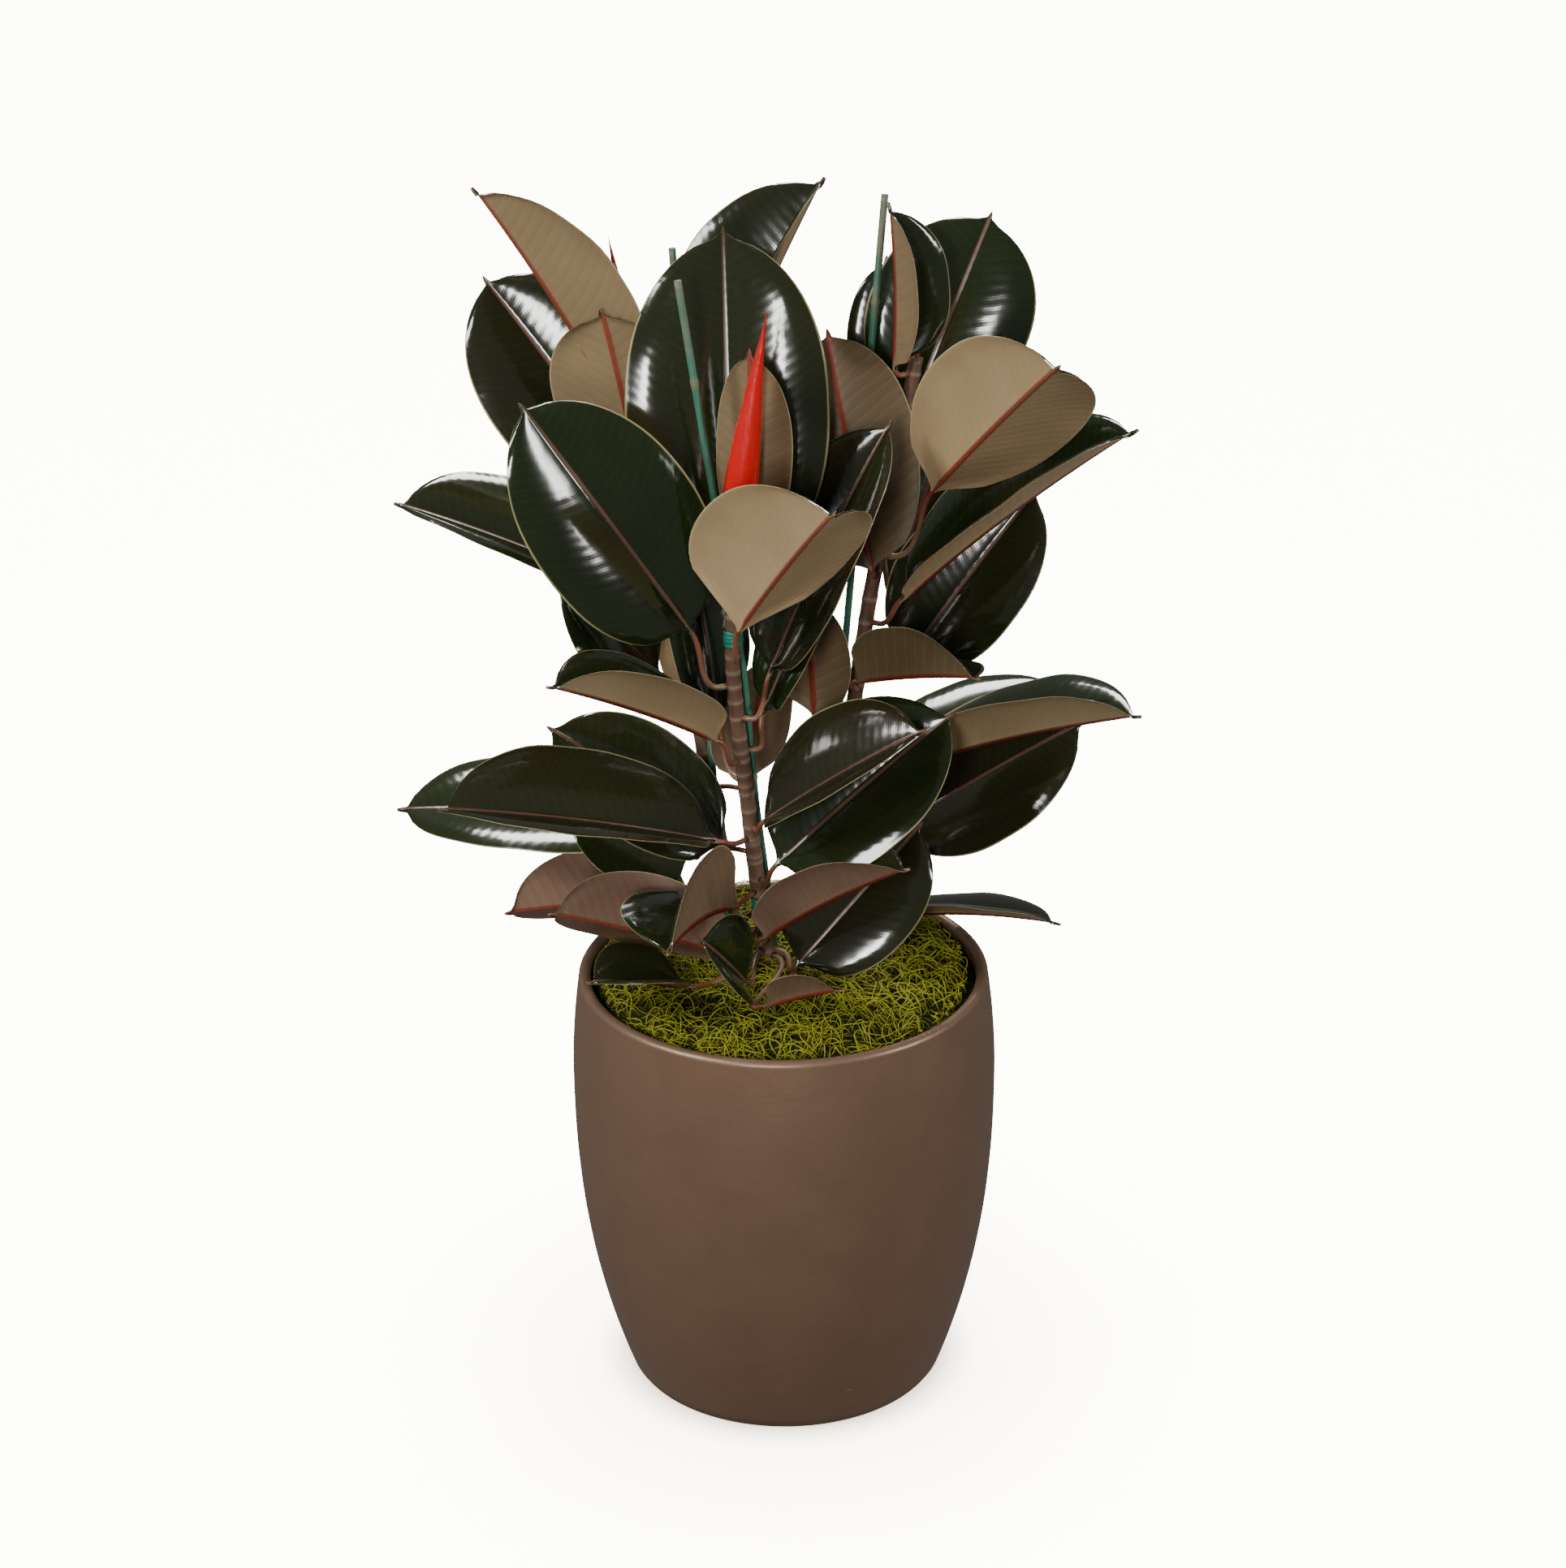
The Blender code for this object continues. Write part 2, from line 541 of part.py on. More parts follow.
def make_leaf(plan, material, collection):
    """A thin closed sheet, thicker along the stalk, shaped from a flat grid."""
    sections = leaf_sections(plan)
    rows = len(sections) - 1
    builder = bmesh.new()
    bmesh.ops.create_grid(builder, x_segments=4, y_segments=rows, size=0.5)
    blade_rows = rows - len(BLADE_STATIONS) + 1
    stalk_vertices = []
    for vertex in builder.verts:
        row = round((vertex.co.y + 0.5) * rows)
        across = vertex.co.x * 2
        if row <= blade_rows:
            stalk_vertices.append((vertex.index, row))
        point, tangent, facing, half_width, share = sections[row]
        upward = (facing - tangent * facing.dot(tangent)).normalized()
        sideways = tangent.cross(upward)
        lift = radians(plan["fold"]) * min(1.0, half_width / FOLD_FULL_WIDTH) if row > blade_rows else 0.0
        reach = half_width * abs(across)
        side = 1 if across > 0 else -1
        vertex.co = point + sideways * side * reach * cos(lift) + upward * reach * sin(lift)
    builder.verts.index_update()
    bmesh.ops.recalc_face_normals(builder, faces=builder.faces)
    made = add_object(plan["name"], mesh_from(builder, plan["name"]), material, collection)
    stalk = made.vertex_groups.new(name="stalk")
    stalk.add([vertex.index for vertex in made.data.vertices], 0.0, "REPLACE")
    for index, row in stalk_vertices:
        stalk.add([index], 1.0 if row < blade_rows else PETIOLE_JOIN, "REPLACE")
    sheet = made.modifiers.new("sheet", "SOLIDIFY")
    sheet.thickness = PETIOLE_THICKNESS
    sheet.offset = 0.0
    sheet.vertex_group = "stalk"
    sheet.thickness_vertex_group = LEAF_THICKNESS / PETIOLE_THICKNESS


def main():
    parts, cutters = start_scene()
    make_planter(parts)
    make_nursery_pot(parts)
    soil = make_soil(parts)
    moss = make_moss(parts)
    for stem, line in STEM_LINES.items():
        for target in (soil, moss):
            drill(target, line, STEM_FOOT_RADIUS + 2 * GAP, cutters)
    stake_lines = {name: clear_of_stem(name) for name in STAKE_LINES}
    for line in stake_lines.values():
        for target in (soil, moss):
            drill(target, line, STAKE_RADIUS + 2 * GAP, cutters)
    make_stems(parts)
    make_stakes(stake_lines, parts)
    make_ties(stake_lines["front"], parts)
    make_sheaths(parts)
    green = finish("waxy_leaf", (0.012, 0.022, 0.008), 0.12)
    for plan in LEAVES:
        make_leaf(plan, green, parts)


main()
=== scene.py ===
"""Rubber plant in a planter: how it looks, piece by piece, in the order it is put together."""
import math
import random

import bmesh
import bpy
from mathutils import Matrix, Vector, noise


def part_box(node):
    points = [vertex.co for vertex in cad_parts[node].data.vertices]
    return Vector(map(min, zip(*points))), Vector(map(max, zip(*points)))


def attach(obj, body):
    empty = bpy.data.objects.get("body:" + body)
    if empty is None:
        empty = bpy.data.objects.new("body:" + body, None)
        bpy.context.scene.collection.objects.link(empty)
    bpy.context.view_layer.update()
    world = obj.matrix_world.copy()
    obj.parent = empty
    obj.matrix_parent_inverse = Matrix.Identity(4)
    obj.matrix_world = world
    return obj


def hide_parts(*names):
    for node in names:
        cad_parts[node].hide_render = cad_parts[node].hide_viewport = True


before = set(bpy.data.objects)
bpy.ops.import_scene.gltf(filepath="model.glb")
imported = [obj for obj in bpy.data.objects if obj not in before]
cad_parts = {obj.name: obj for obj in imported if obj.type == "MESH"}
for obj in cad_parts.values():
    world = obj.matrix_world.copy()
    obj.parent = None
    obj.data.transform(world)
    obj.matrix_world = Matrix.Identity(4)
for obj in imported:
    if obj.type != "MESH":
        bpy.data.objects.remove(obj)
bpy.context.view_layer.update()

# ---- Nursery pot ---------------------------------------------------------------------------------
# The thin black pot that the plant was grown in. It is thermoformed plastic, and it stands on the
# planter's floor with its rolled edge just under the moss.


class Wire:
    """A shader socket that joins in arithmetic. Each sum on it adds its own node."""

    def __init__(self, socket):
        self.socket = socket
        self.tree = socket.id_data

    def node(self, kind, settings=None, sockets=None, output=0):
        """Adds any other node: its type, its settings, then its sockets' values or wires."""
        made = self.tree.nodes.new(kind)
        for name, value in (settings or {}).items():
            setattr(made, name, value)
        for name, value in (sockets or {}).items():
            if isinstance(value, Wire):
                self.tree.links.new(value.socket, made.inputs[name])
            else:
                made.inputs[name].default_value = value
        return Wire(made.outputs[output])

    def math(self, operation, *values):
        return self.node("ShaderNodeMath", {"operation": operation}, dict(enumerate((self, *values))))

    def __add__(self, other):
        return self.math("ADD", other)

    def __sub__(self, other):
        return self.math("SUBTRACT", other)

    def __rsub__(self, other):
        return self.math("MULTIPLY_ADD", -1.0, other)

    def __mul__(self, other):
        return self.math("MULTIPLY", other)

    __radd__ = __add__
    __rmul__ = __mul__

    def sine(self):
        return self.math("SINE")

    def size(self):
        return self.math("ABSOLUTE")

    def above(self, low, high):
        """Rises smoothly from 0 at low to 1 at high, or falls if low is the greater."""
        ends = {"Value": self, "From Min": low, "From Max": high}
        return self.node("ShaderNodeMapRange", {"interpolation_type": "SMOOTHSTEP"}, ends)

    def tint(self, first, second):
        """The first colour where this is 0, the second where it is 1."""
        first, second = (c if isinstance(c, Wire) else (*c, 1.0) for c in (first, second))
        mixed = {"data_type": "RGBA", "clamp_factor": True}
        return self.node("ShaderNodeMix", mixed, {0: self, 6: first, 7: second}, 2)

    def specks(self, scale, detail=2.0, stretch=None, warp=0.0):
        """Cloudy variation between 0 and 1, about one patch to each 1/scale metres."""
        spot = self.node("ShaderNodeTexCoord", output="Object")
        if stretch:
            spot = self.node("ShaderNodeMapping", {}, {"Vector": spot, "Scale": stretch})
        look = {"Vector": spot, "Scale": scale, "Detail": detail, "Distortion": warp}
        return self.node("ShaderNodeTexNoise", {}, look)

    def carried(self, attribute):
        """A value that the mesh carries at each of its points."""
        return self.node("ShaderNodeAttribute", {"attribute_name": attribute}, output="Fac")

    def bump(self, height, depth, under=None):
        """Relief of a depth in metres, laid over another relief if one is given."""
        sockets = {"Height": height, "Distance": depth, "Strength": 1.0}
        if under:
            sockets["Normal"] = under
        return self.node("ShaderNodeBump", {}, sockets)


def new_finish(name, **settled):
    """A material with its constant values set, its shader, and a wire to draw nodes from."""
    material = bpy.data.materials.new(name)
    material.use_nodes = True
    shader = material.node_tree.nodes["Principled BSDF"]
    for socket, value in settled.items():
        shader.inputs[socket.replace("_", " ").title().replace("Ior", "IOR")].default_value = value
    return material, shader, Wire(shader.outputs[0])


def coat(shader, **wires):
    """Leads wires to the shader's sockets: its colour, roughness, normal or emission colour."""
    for name, wire in wires.items():
        shader.id_data.links.new(wire.socket, shader.inputs[name.replace("_", " ").title()])


black_plastic, shader, draw = new_finish("black_pot_plastic", coat_weight=0.1)
dust = draw.specks(160, 4)
coat(
    shader,
    base_color=dust.tint((0.012, 0.012, 0.013), (0.035, 0.032, 0.028)),
    roughness=dust * 0.25 + 0.38,
    normal=draw.bump(draw.specks(420), 0.0002),
)


def finish_node(name, material):
    """Gives a CAD piece that keeps its shape its material."""
    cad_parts[name].data.materials.clear()
    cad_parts[name].data.materials.append(material)


finish_node("nursery_pot", black_plastic)

# ---- Planter -------------------------------------------------------------------------------------
# A barrel-shaped cover pot of stoneware, with a rounded lip and a satin bronze glaze. It is thrown in one
# piece, so it has no seam, only a faint mottle and two fine scuffs from use; the top of its lip is
# painted lighter, as a painted highlight.

PLANTER_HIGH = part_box("planter")[1]
PLANTER_HEIGHT = PLANTER_HIGH.z
PLANTER_BELLY_RADIUS = PLANTER_HIGH.x
BASE_TO_BELLY = 0.7508
RIM_TO_BELLY = 0.9587
PLANTER_BASE_RADIUS = PLANTER_BELLY_RADIUS * BASE_TO_BELLY
PLANTER_RIM_RADIUS = PLANTER_BELLY_RADIUS * RIM_TO_BELLY
BELLY_SHARE = 0.75  # of the height
CURVE_BELOW_BELLY = 2.32
CURVE_ABOVE_BELLY = 1.9
PLANTER_WALL = 0.009
PLANTER_FLOOR = 0.012
PLANTER_FOOT_ROUND = 0.004
INSIDE_STEPS, LIP_STEPS, OUTSIDE_STEPS, FOOT_STEPS = 30, 16, 60, 5
PLANTER_SPIN_STEPS = 144
# Depth of the painted highlight along the top of the lip.
LIP_HIGHLIGHT_BAND = 0.006
SAME_POINT = 0.00001


def planter_radius(level):
    """Outer radius at a level above the base."""
    belly = BELLY_SHARE * PLANTER_HEIGHT
    if level <= belly:
        drawn_in = ((belly - level) / belly) ** CURVE_BELOW_BELLY
        return PLANTER_BELLY_RADIUS - (PLANTER_BELLY_RADIUS - PLANTER_BASE_RADIUS) * drawn_in
    drawn_in = ((level - belly) / (PLANTER_HEIGHT - belly)) ** CURVE_ABOVE_BELLY
    return PLANTER_BELLY_RADIUS - (PLANTER_BELLY_RADIUS - PLANTER_RIM_RADIUS) * drawn_in


def settle(form, name, materials, slot, *nodes):
    """Makes a smooth, finished piece of a bmesh that stands for its CAD nodes."""
    for face in form.faces:
        face.smooth = True
    mesh = bpy.data.meshes.new(name)
    form.to_mesh(mesh)
    form.free()
    piece = bpy.data.objects.new(name, mesh)
    bpy.context.scene.collection.objects.link(piece)
    for material in materials:
        mesh.materials.append(material)
    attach(piece, "root")
    if nodes:
        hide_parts(*nodes)


def thrown(profile, steps):
    """A closed form spun about the upright axis from a profile that starts and ends on it."""
    form = bmesh.new()
    points = [form.verts.new((radius, 0.0, level)) for radius, level in profile]
    edges = [form.edges.new(pair) for pair in zip(points, points[1:])]
    about = dict(cent=(0, 0, 0), axis=(0, 0, 1), angle=math.tau)
    bmesh.ops.spin(form, geom=points + edges, steps=steps, use_merge=True, **about)
    bmesh.ops.remove_doubles(form, verts=form.verts, dist=SAME_POINT)
    bmesh.ops.recalc_face_normals(form, faces=form.faces)
    return form


def levels(first, last, steps):
    """Even levels from first to last, both included."""
    return [first + (last - first) * step / steps for step in range(steps + 1)]


lip = PLANTER_WALL / 2
lip_level = PLANTER_HEIGHT - lip
lip_centre = planter_radius(lip_level) - lip
foot = PLANTER_FOOT_ROUND
inside = [(0.0, PLANTER_FLOOR)]
inside += [
    (planter_radius(level) - PLANTER_WALL, level)
    for level in levels(PLANTER_FLOOR, lip_level, INSIDE_STEPS)
]
rim = [
    (lip_centre + lip * math.cos(math.pi - turn), lip_level + lip * math.sin(turn))
    for turn in [math.pi * step / LIP_STEPS for step in range(1, LIP_STEPS)]
]
outside = [(planter_radius(level), level) for level in levels(lip_level, foot, OUTSIDE_STEPS)]
foot_edge = [
    (PLANTER_BASE_RADIUS - foot * 0.5 * (1 - math.cos(turn)), foot * (1 - math.sin(turn)))
    for turn in [math.pi / 2 * step / FOOT_STEPS for step in range(1, FOOT_STEPS + 1)]
]
planter_form = thrown(inside + rim + outside + foot_edge + [(0.0, 0.0)], PLANTER_SPIN_STEPS)

glaze, shader, draw = new_finish(
    "satin_bronze_glaze", metallic=0.45, coat_weight=0.15, coat_roughness=0.4
)
mottle = draw.specks(26, 5, warp=0.6)
fine = draw.specks(260, 3)
streaks = draw.specks(9, 4, stretch=(1.0, 1.0, 0.35))
spot = draw.node("ShaderNodeTexCoord", output="Object")
level = draw.node("ShaderNodeSeparateXYZ", {}, {0: spot}, 2)
# The top of the lip is painted lighter in a narrow band: a painted highlight.
lip_highlight = level.above(PLANTER_HEIGHT - LIP_HIGHLIGHT_BAND, PLANTER_HEIGHT)


def nick(place, reach):
    """A small scratch in the glaze: 1 at its middle, 0 past its reach in x, y and z."""
    away = draw.node("ShaderNodeVectorMath", {"operation": "SUBTRACT"}, {0: spot, 1: place})
    shares = draw.node("ShaderNodeVectorMath", {"operation": "DIVIDE"}, {0: away, 1: reach})
    far = draw.node("ShaderNodeVectorMath", {"operation": "LENGTH"}, {0: shares}, "Value")
    return far.above(1.0, 0.5)


scuffs = nick((0.045, -0.109, 0.034), (0.0035, 0.02, 0.0007))
scuffs += nick((0.009, -0.128, 0.077), (0.003, 0.02, 0.0004)) * 0.4
bronze = (mottle * 0.65 + streaks * 0.35).tint((0.172, 0.099, 0.062), (0.218, 0.132, 0.085))
coat(
    shader,
    # Lighter at the two scuffs, which is real wear, and along the top of the lip, which is a painted
    # highlight.
    base_color=(scuffs * 0.5 + lip_highlight * 0.08).tint(bronze, (0.42, 0.34, 0.27)),
    roughness=mottle * 0.10 + fine * 0.06 + scuffs * 0.2 + 0.33,
    normal=draw.bump(fine, 0.00012, draw.bump(mottle, 0.0006)),
)
settle(planter_form, "glazed_planter", [glaze], "glaze", "planter")

# ---- Potting mix ---------------------------------------------------------------------------------
# Damp peat and bark fines that fill the nursery pot up to its edge and hold the stems and canes. The
# moss hides it, so the plain block keeps its shape and only gets the look of crumbs.

peat, shader, draw = new_finish("damp_peat", specular_ior_level=0.2)
crumbs = draw.specks(240, 6)
bark_fines = draw.specks(90, 2).above(0.55, 0.62)
crumbled = crumbs.tint((0.010, 0.006, 0.004), (0.045, 0.028, 0.017))
coat(
    shader,
    base_color=bark_fines.tint(crumbled, (0.10, 0.06, 0.035)),
    roughness=crumbs * 0.2 + 0.8,
    normal=draw.bump(crumbs + bark_fines * 0.5, 0.003),
)
finish_node("potting_soil", peat)

# ---- Stems ---------------------------------------------------------------------------------------
# Three woody stems in one pot. The bark is smooth and brown, lightly ridged lengthwise, with a pale ring
# where each leaf sits or has dropped. They go down through the moss into the potting mix.

STEM_FOOT_RADIUS = 0.0064
STEM_TOP_RADIUS = 0.0048
STEM_SIDES, STEM_PITCH = 20, 0.0016
STEM_FLUTES, STEM_FLUTE_DEPTH, STEM_TWIST = 3, 0.02, 20
RING_REACH = 0.0013  # of the pale ring, up and down
RING_SWELL, RING_SWELL_REACH = 0.00035, 0.003
BEND_SOFTENING = 0.006  # between the points that are averaged along a rod
# Each stem's centre line: x, y and the height above the planter's rim.
STEM_LINES = {
    "front": [
        (-0.006, 0.003, -0.116), (-0.0115, -0.002, 0.020), (-0.019, -0.012, 0.084),
        (-0.0235, -0.018, 0.134), (-0.0285, -0.026, 0.184), (-0.033, -0.034, 0.240),
        (-0.033, -0.038, 0.276), (-0.030, -0.035, 0.317),
    ],
    "left": [
        (-0.028, 0.056, -0.116), (-0.039, 0.060, 0.025), (-0.055, 0.060, 0.140),
        (-0.068, 0.060, 0.224), (-0.081, 0.060, 0.304), (-0.095, 0.060, 0.390), (-0.107, 0.060, 0.467),
    ],
    "right": [
        (0.020, 0.044, -0.116), (0.031, 0.050, 0.025), (0.046, 0.050, 0.144),
        (0.062, 0.050, 0.261), (0.078, 0.060, 0.344), (0.095, 0.070, 0.433),
    ],
}
# Heights above the planter's rim of the rings left by dropped leaves.
OLD_RINGS = {
    "front": (0.034, 0.051, 0.064, 0.091, 0.106, 0.133, 0.147, 0.163, 0.192, 0.221, 0.244, 0.268, 0.293),
    "left": (
        0.042, 0.056, 0.084, 0.128, 0.143, 0.176, 0.203, 0.231, 0.252, 0.271, 0.296, 0.356, 0.378, 0.41,
    ),
    "right": (0.048, 0.062, 0.081, 0.097, 0.163, 0.181, 0.214, 0.263, 0.301, 0.329, 0.346, 0.40),
}


def plant_point(point):
    """A point of a stem or cane, given by its height above the planter's rim."""
    return Vector((point[0], point[1], PLANTER_HEIGHT + point[2]))


def stem_radius(stem, up):
    """A stem's radius at a height above the rim. It tapers evenly."""
    low, high = STEM_LINES[stem][0][2], STEM_LINES[stem][-1][2]
    return STEM_FOOT_RADIUS + (STEM_TOP_RADIUS - STEM_FOOT_RADIUS) * (up - low) / (high - low)


def along(line, up):
    """The point at a height above the rim on a line of points."""
    for start, end in zip(line, line[1:]):
        if up <= end[2] or end is line[-1]:
            return plant_point(start).lerp(plant_point(end), (up - start[2]) / (end[2] - start[2]))


def bulge(distance, reach):
    """1 at no distance, fading smoothly to almost nothing at twice the reach."""
    return math.exp(-((distance / reach) ** 2))


def sleeve(sides, rows, *carried):
    """A closed tube to be shaped ring by ring, each point's ring and spoke, and what its points carry."""
    form = bmesh.new()
    layers = [form.verts.layers.float.new(name) for name in carried]
    bmesh.ops.create_cone(form, cap_ends=True, segments=sides, radius1=1, radius2=1, depth=rows)
    upright = [edge for edge in form.edges if abs(edge.verts[0].co.z - edge.verts[1].co.z) > 0.5]
    bmesh.ops.subdivide_edges(form, edges=upright, cuts=rows - 1, use_grid_fill=True)
    places = {}
    for vertex in form.verts:
        spoke = round(math.atan2(vertex.co.y, vertex.co.x) / math.tau * sides) % sides
        places[vertex] = (round(vertex.co.z + rows / 2), spoke)
    return form, places, layers


def rod(line, radius_at, sides, pitch, mark_at):
    """A round rod along an upright line. mark_at tells how marked its surface is at a height."""
    low, high = line[0][2], line[-1][2]
    rows = int((high - low) / pitch)
    form, places, (mark, length) = sleeve(sides, rows, "mark", "along")
    rings = []
    for row in range(rows + 1):
        up = low + (high - low) * row / rows
        nearby = [up + step * BEND_SOFTENING for step in (-2, -1, 0, 1, 2)]
        smooth = [along(line, min(high, max(low, near))) for near in nearby]
        centre = sum(smooth, Vector()) / len(smooth) if 0 < row < rows else smooth[2]
        heading = (smooth[3] - smooth[1]).normalized()
        if rings:
            right = heading.cross(rings[-1][2].cross(heading))
        else:
            right = heading.orthogonal().normalized()
        rings.append((up, centre, right.normalized(), heading))
    for vertex, (row, spoke) in places.items():
        up, centre, right, heading = rings[row]
        angle = math.tau * spoke / sides
        outward = right * math.cos(angle) + heading.cross(right) * math.sin(angle)
        vertex.co = centre + outward * radius_at(up, angle)
        vertex[mark] = mark_at(up)
        vertex[length] = up
    bmesh.ops.recalc_face_normals(form, faces=form.faces)
    return form


bark, shader, draw = new_finish("stem_bark", specular_ior_level=0.4)
up = draw.carried("along")
ridges = draw.specks(420, 3, stretch=(1.0, 1.0, 0.12))
patches = draw.specks(38, 3)
scar = draw.carried("mark")
young = up.above(0.12, 0.34)
brown = (patches * 0.7 + ridges * 0.3).tint((0.055, 0.030, 0.019), (0.160, 0.095, 0.060))
reddish = (patches * 0.8 + ridges * 0.2).tint((0.058, 0.028, 0.017), (0.125, 0.060, 0.036))
coat(
    shader,
    base_color=(scar * (ridges * 0.4 + 0.35)).tint(young.tint(brown, reddish), (0.30, 0.22, 0.15)),
    roughness=patches * 0.2 + scar * 0.15 + 0.42,
    normal=draw.bump(ridges + patches * 0.4, 0.0007),
)

# ---- Leaf plan -----------------------------------------------------------------------------------
# Where every leaf grows. Leaves of a rubber plant leave the stem singly, one above the other in a slow
# spiral, and each one turns its blade to the light.


def leaf(name, up, stalk, blade, width, roll=0, fold=12, arch=(0.03, 0.03), **rest):
    """One leaf: its stem and number, its height above the rim, its stalk and blade as (length, heading,
    rise), its width, and how its blade is rolled, folded and arched. It may also have a belly, its widest
    place as a share of its length; a root, its heading at the stem; an under, 0 where it is tan beneath,
    about 0.5 where olive and 1 where mauve; and a wave, how strongly its margins ripple."""
    usual = dict(belly=0.5, root=stalk[1], under=0.1, wave=1.0)
    shape = dict(up=up, stalk=stalk, blade=blade, width=width, roll=roll, fold=fold, arch=arch)
    return {"name": name, "stem": name.split("_")[0], **shape, **usual, **rest}


LEAVES = [
    leaf("front_01", 0.301, (0.034, 56, 63), (0.137, 63, 87), 0.060, 180, 15, root=60, under=0.4,
         wave=0.4),
    leaf("front_02", 0.285, (0.035, 92, 27), (0.238, 93, 74), 0.140, -2, 8, root=30, under=0.3, wave=1.8),
    leaf("front_03", 0.256, (0.045, -81, 43), (0.168, -57, 46), 0.138, -30, 38, belly=0.38, wave=0.5),
    leaf("front_04", 0.233, (0.055, -154, 55), (0.205, -167, 57), 0.120, -78, 14),
    leaf("front_05", 0.208, (0.038, 37, 41), (0.195, 13, 64), 0.098, 24, 18, root=-30, under=0.3),
    leaf("front_06", 0.181, (0.031, 52, 36), (0.152, 9, 64), 0.070, 20, 14, root=0, under=0.5),
    leaf("front_07", 0.174, (0.037, -124, 40), (0.140, -155, 27), 0.095, 7, 43),
    leaf("front_08", 0.154, (0.049, 127, 53), (0.132, 136, 77), 0.066, -10, 8),
    leaf("front_09", 0.120, (0.029, -67, 27), (0.143, -18, 36), 0.100, 25, 28),
    leaf("front_10", 0.110, (0.040, -130, 15), (0.197, -168, 13), 0.115, -14, 29),
    leaf("front_11", 0.096, (0.025, 147, 0), (0.151, 171, 34), 0.090, -40, 12),
    leaf("front_12", 0.077, (0.039, -64, 35), (0.164, 7, 41), 0.115, 40, 15),
    leaf("front_13", 0.066, (0.031, -122, -2), (0.107, -116, 6), 0.110, 37, 47, (0.10, 0.06), under=0.75),
    leaf("front_14", 0.036, (0.034, -124, -24), (0.149, -163, 22), 0.090, 80, 48, under=1),
    leaf("front_15", 0.029, (0.050, -92, 22), (0.143, -31, 35), 0.083, -5, 45, under=0.9),
    leaf("front_16", 0.016, (0.047, -64, 8), (0.135, 26, 42), 0.092, 55, 12, root=-30, under=0.9),
    leaf("front_17", 0.016, (0.058, -104, 0), (0.076, -129, 47), 0.070, -60, 25, root=-120, under=0.5,
         wave=0.6),
    leaf("front_18", 0.012, (0.086, -92, 1), (0.060, -12, 18), 0.055, -40, 20, root=-50, under=0.75,
         wave=0.5),
    leaf("front_19", 0.010, (0.079, -135, 3), (0.078, -157, 14), 0.080, 0, 25, under=0.75),
    leaf("left_01", 0.344, (0.052, -165, 69), (0.193, 177, 59), 0.120, 34, 34, under=0.3),
    leaf("left_02", 0.324, (0.024, -126, 45), (0.141, -162, 79), 0.120, 50, 10, under=0.3),
    leaf("left_03", 0.304, (0.045, 117, 38), (0.184, 163, 52), 0.120, -55, 10),
    leaf("left_04", 0.284, (0.074, 65, 54), (0.221, 31, 61), 0.135, 3, 44),
    leaf("left_05", 0.214, (0.054, -163, 60), (0.191, -178, 24), 0.115, -12, 24),
    leaf("left_06", 0.189, (0.057, -118, 33), (0.125, -142, 47), 0.092, -60, 8, root=190, under=0.4),
    leaf("left_07", 0.164, (0.031, -90, 57), (0.077, -137, 76), 0.044, 41, 6),
    leaf("left_08", 0.114, (0.030, -20, 14), (0.103, -11, 82), 0.072, -43, 8, root=10, under=0.75),
    leaf("left_09", 0.099, (0.023, 162, -32), (0.210, -179, 3), 0.115, -14, 8),
    leaf("left_10", 0.069, (0.039, -122, 8), (0.107, -161, 27), 0.088, -40, 8, root=210, under=0.6),
    leaf("left_11", 0.029, (0.027, -147, 4), (0.144, -162, 5), 0.085, 80, 45, under=1),
    leaf("right_01", 0.422, (0.017, -146, 19), (0.118, 180, 88), 0.080, -26, 48, under=0.35),
    leaf("right_02", 0.384, (0.039, 111, -12), (0.116, 83, 75), 0.052, 0, 6, under=0.4),
    leaf("right_03", 0.364, (0.038, 70, 39), (0.148, 35, 62), 0.115, 50, 6),
    leaf("right_04", 0.294, (0.073, -38, 51), (0.186, -55, 43), 0.122, -46, 28, root=-20, wave=0.6),
    leaf("right_05", 0.290, (0.058, 74, -38), (0.112, 53, 55), 0.090, 30, 10),
    leaf("right_06", 0.284, (0.026, -96, 16), (0.174, -31, 102), 0.101, -42, 4, under=0.55),
    leaf("right_07", 0.246, (0.037, -32, 37), (0.209, -11, 40), 0.120, 7, 29),
    leaf("right_08", 0.229, (0.037, 18, -30), (0.156, 9, 53), 0.100, 50, 12),
    leaf("right_09", 0.199, (0.033, -92, 24), (0.113, -40, 16), 0.090, -34, 34, under=0.5),
    leaf("right_10", 0.149, (0.039, -150, 47), (0.100, -154, 85), 0.060, 41, 6, under=0.6),
    leaf("right_11", 0.139, (0.049, -24, 6), (0.176, -17, 19), 0.115, -12, 36),
    leaf("right_12", 0.129, (0.062, 61, -23), (0.157, 19, 17), 0.100, 10, 12),
    leaf("right_13", 0.114, (0.049, 0, -35), (0.158, -4, 33), 0.115, 40, 8),
    leaf("right_14", 0.034, (0.042, -15, -19), (0.131, -9, 1), 0.090, -19, 15, (0.05, 0.05), under=0.15),
]
leaf_levels = {stem: [plan["up"] for plan in LEAVES if plan["stem"] == stem] for stem in STEM_LINES}


def make_stem(stem):
    """A stem with a pale, slightly swollen ring at each leaf it has or has dropped."""
    rings = list(OLD_RINGS[stem]) + leaf_levels[stem]

    def scar_at(up):
        return max(bulge(up - ring, RING_REACH) for ring in rings)

    def radius_at(up, angle):
        swell = RING_SWELL * max(bulge(up - ring, RING_SWELL_REACH) for ring in rings)
        flutes = STEM_FLUTE_DEPTH * math.sin(STEM_FLUTES * angle + up * STEM_TWIST)
        return stem_radius(stem, up) * (1 + flutes) + swell

    return rod(STEM_LINES[stem], radius_at, STEM_SIDES, STEM_PITCH, scar_at)


for stem in STEM_LINES:
    settle(make_stem(stem), f"bark_{stem}", [bark], "bark", f"stem_{stem}")

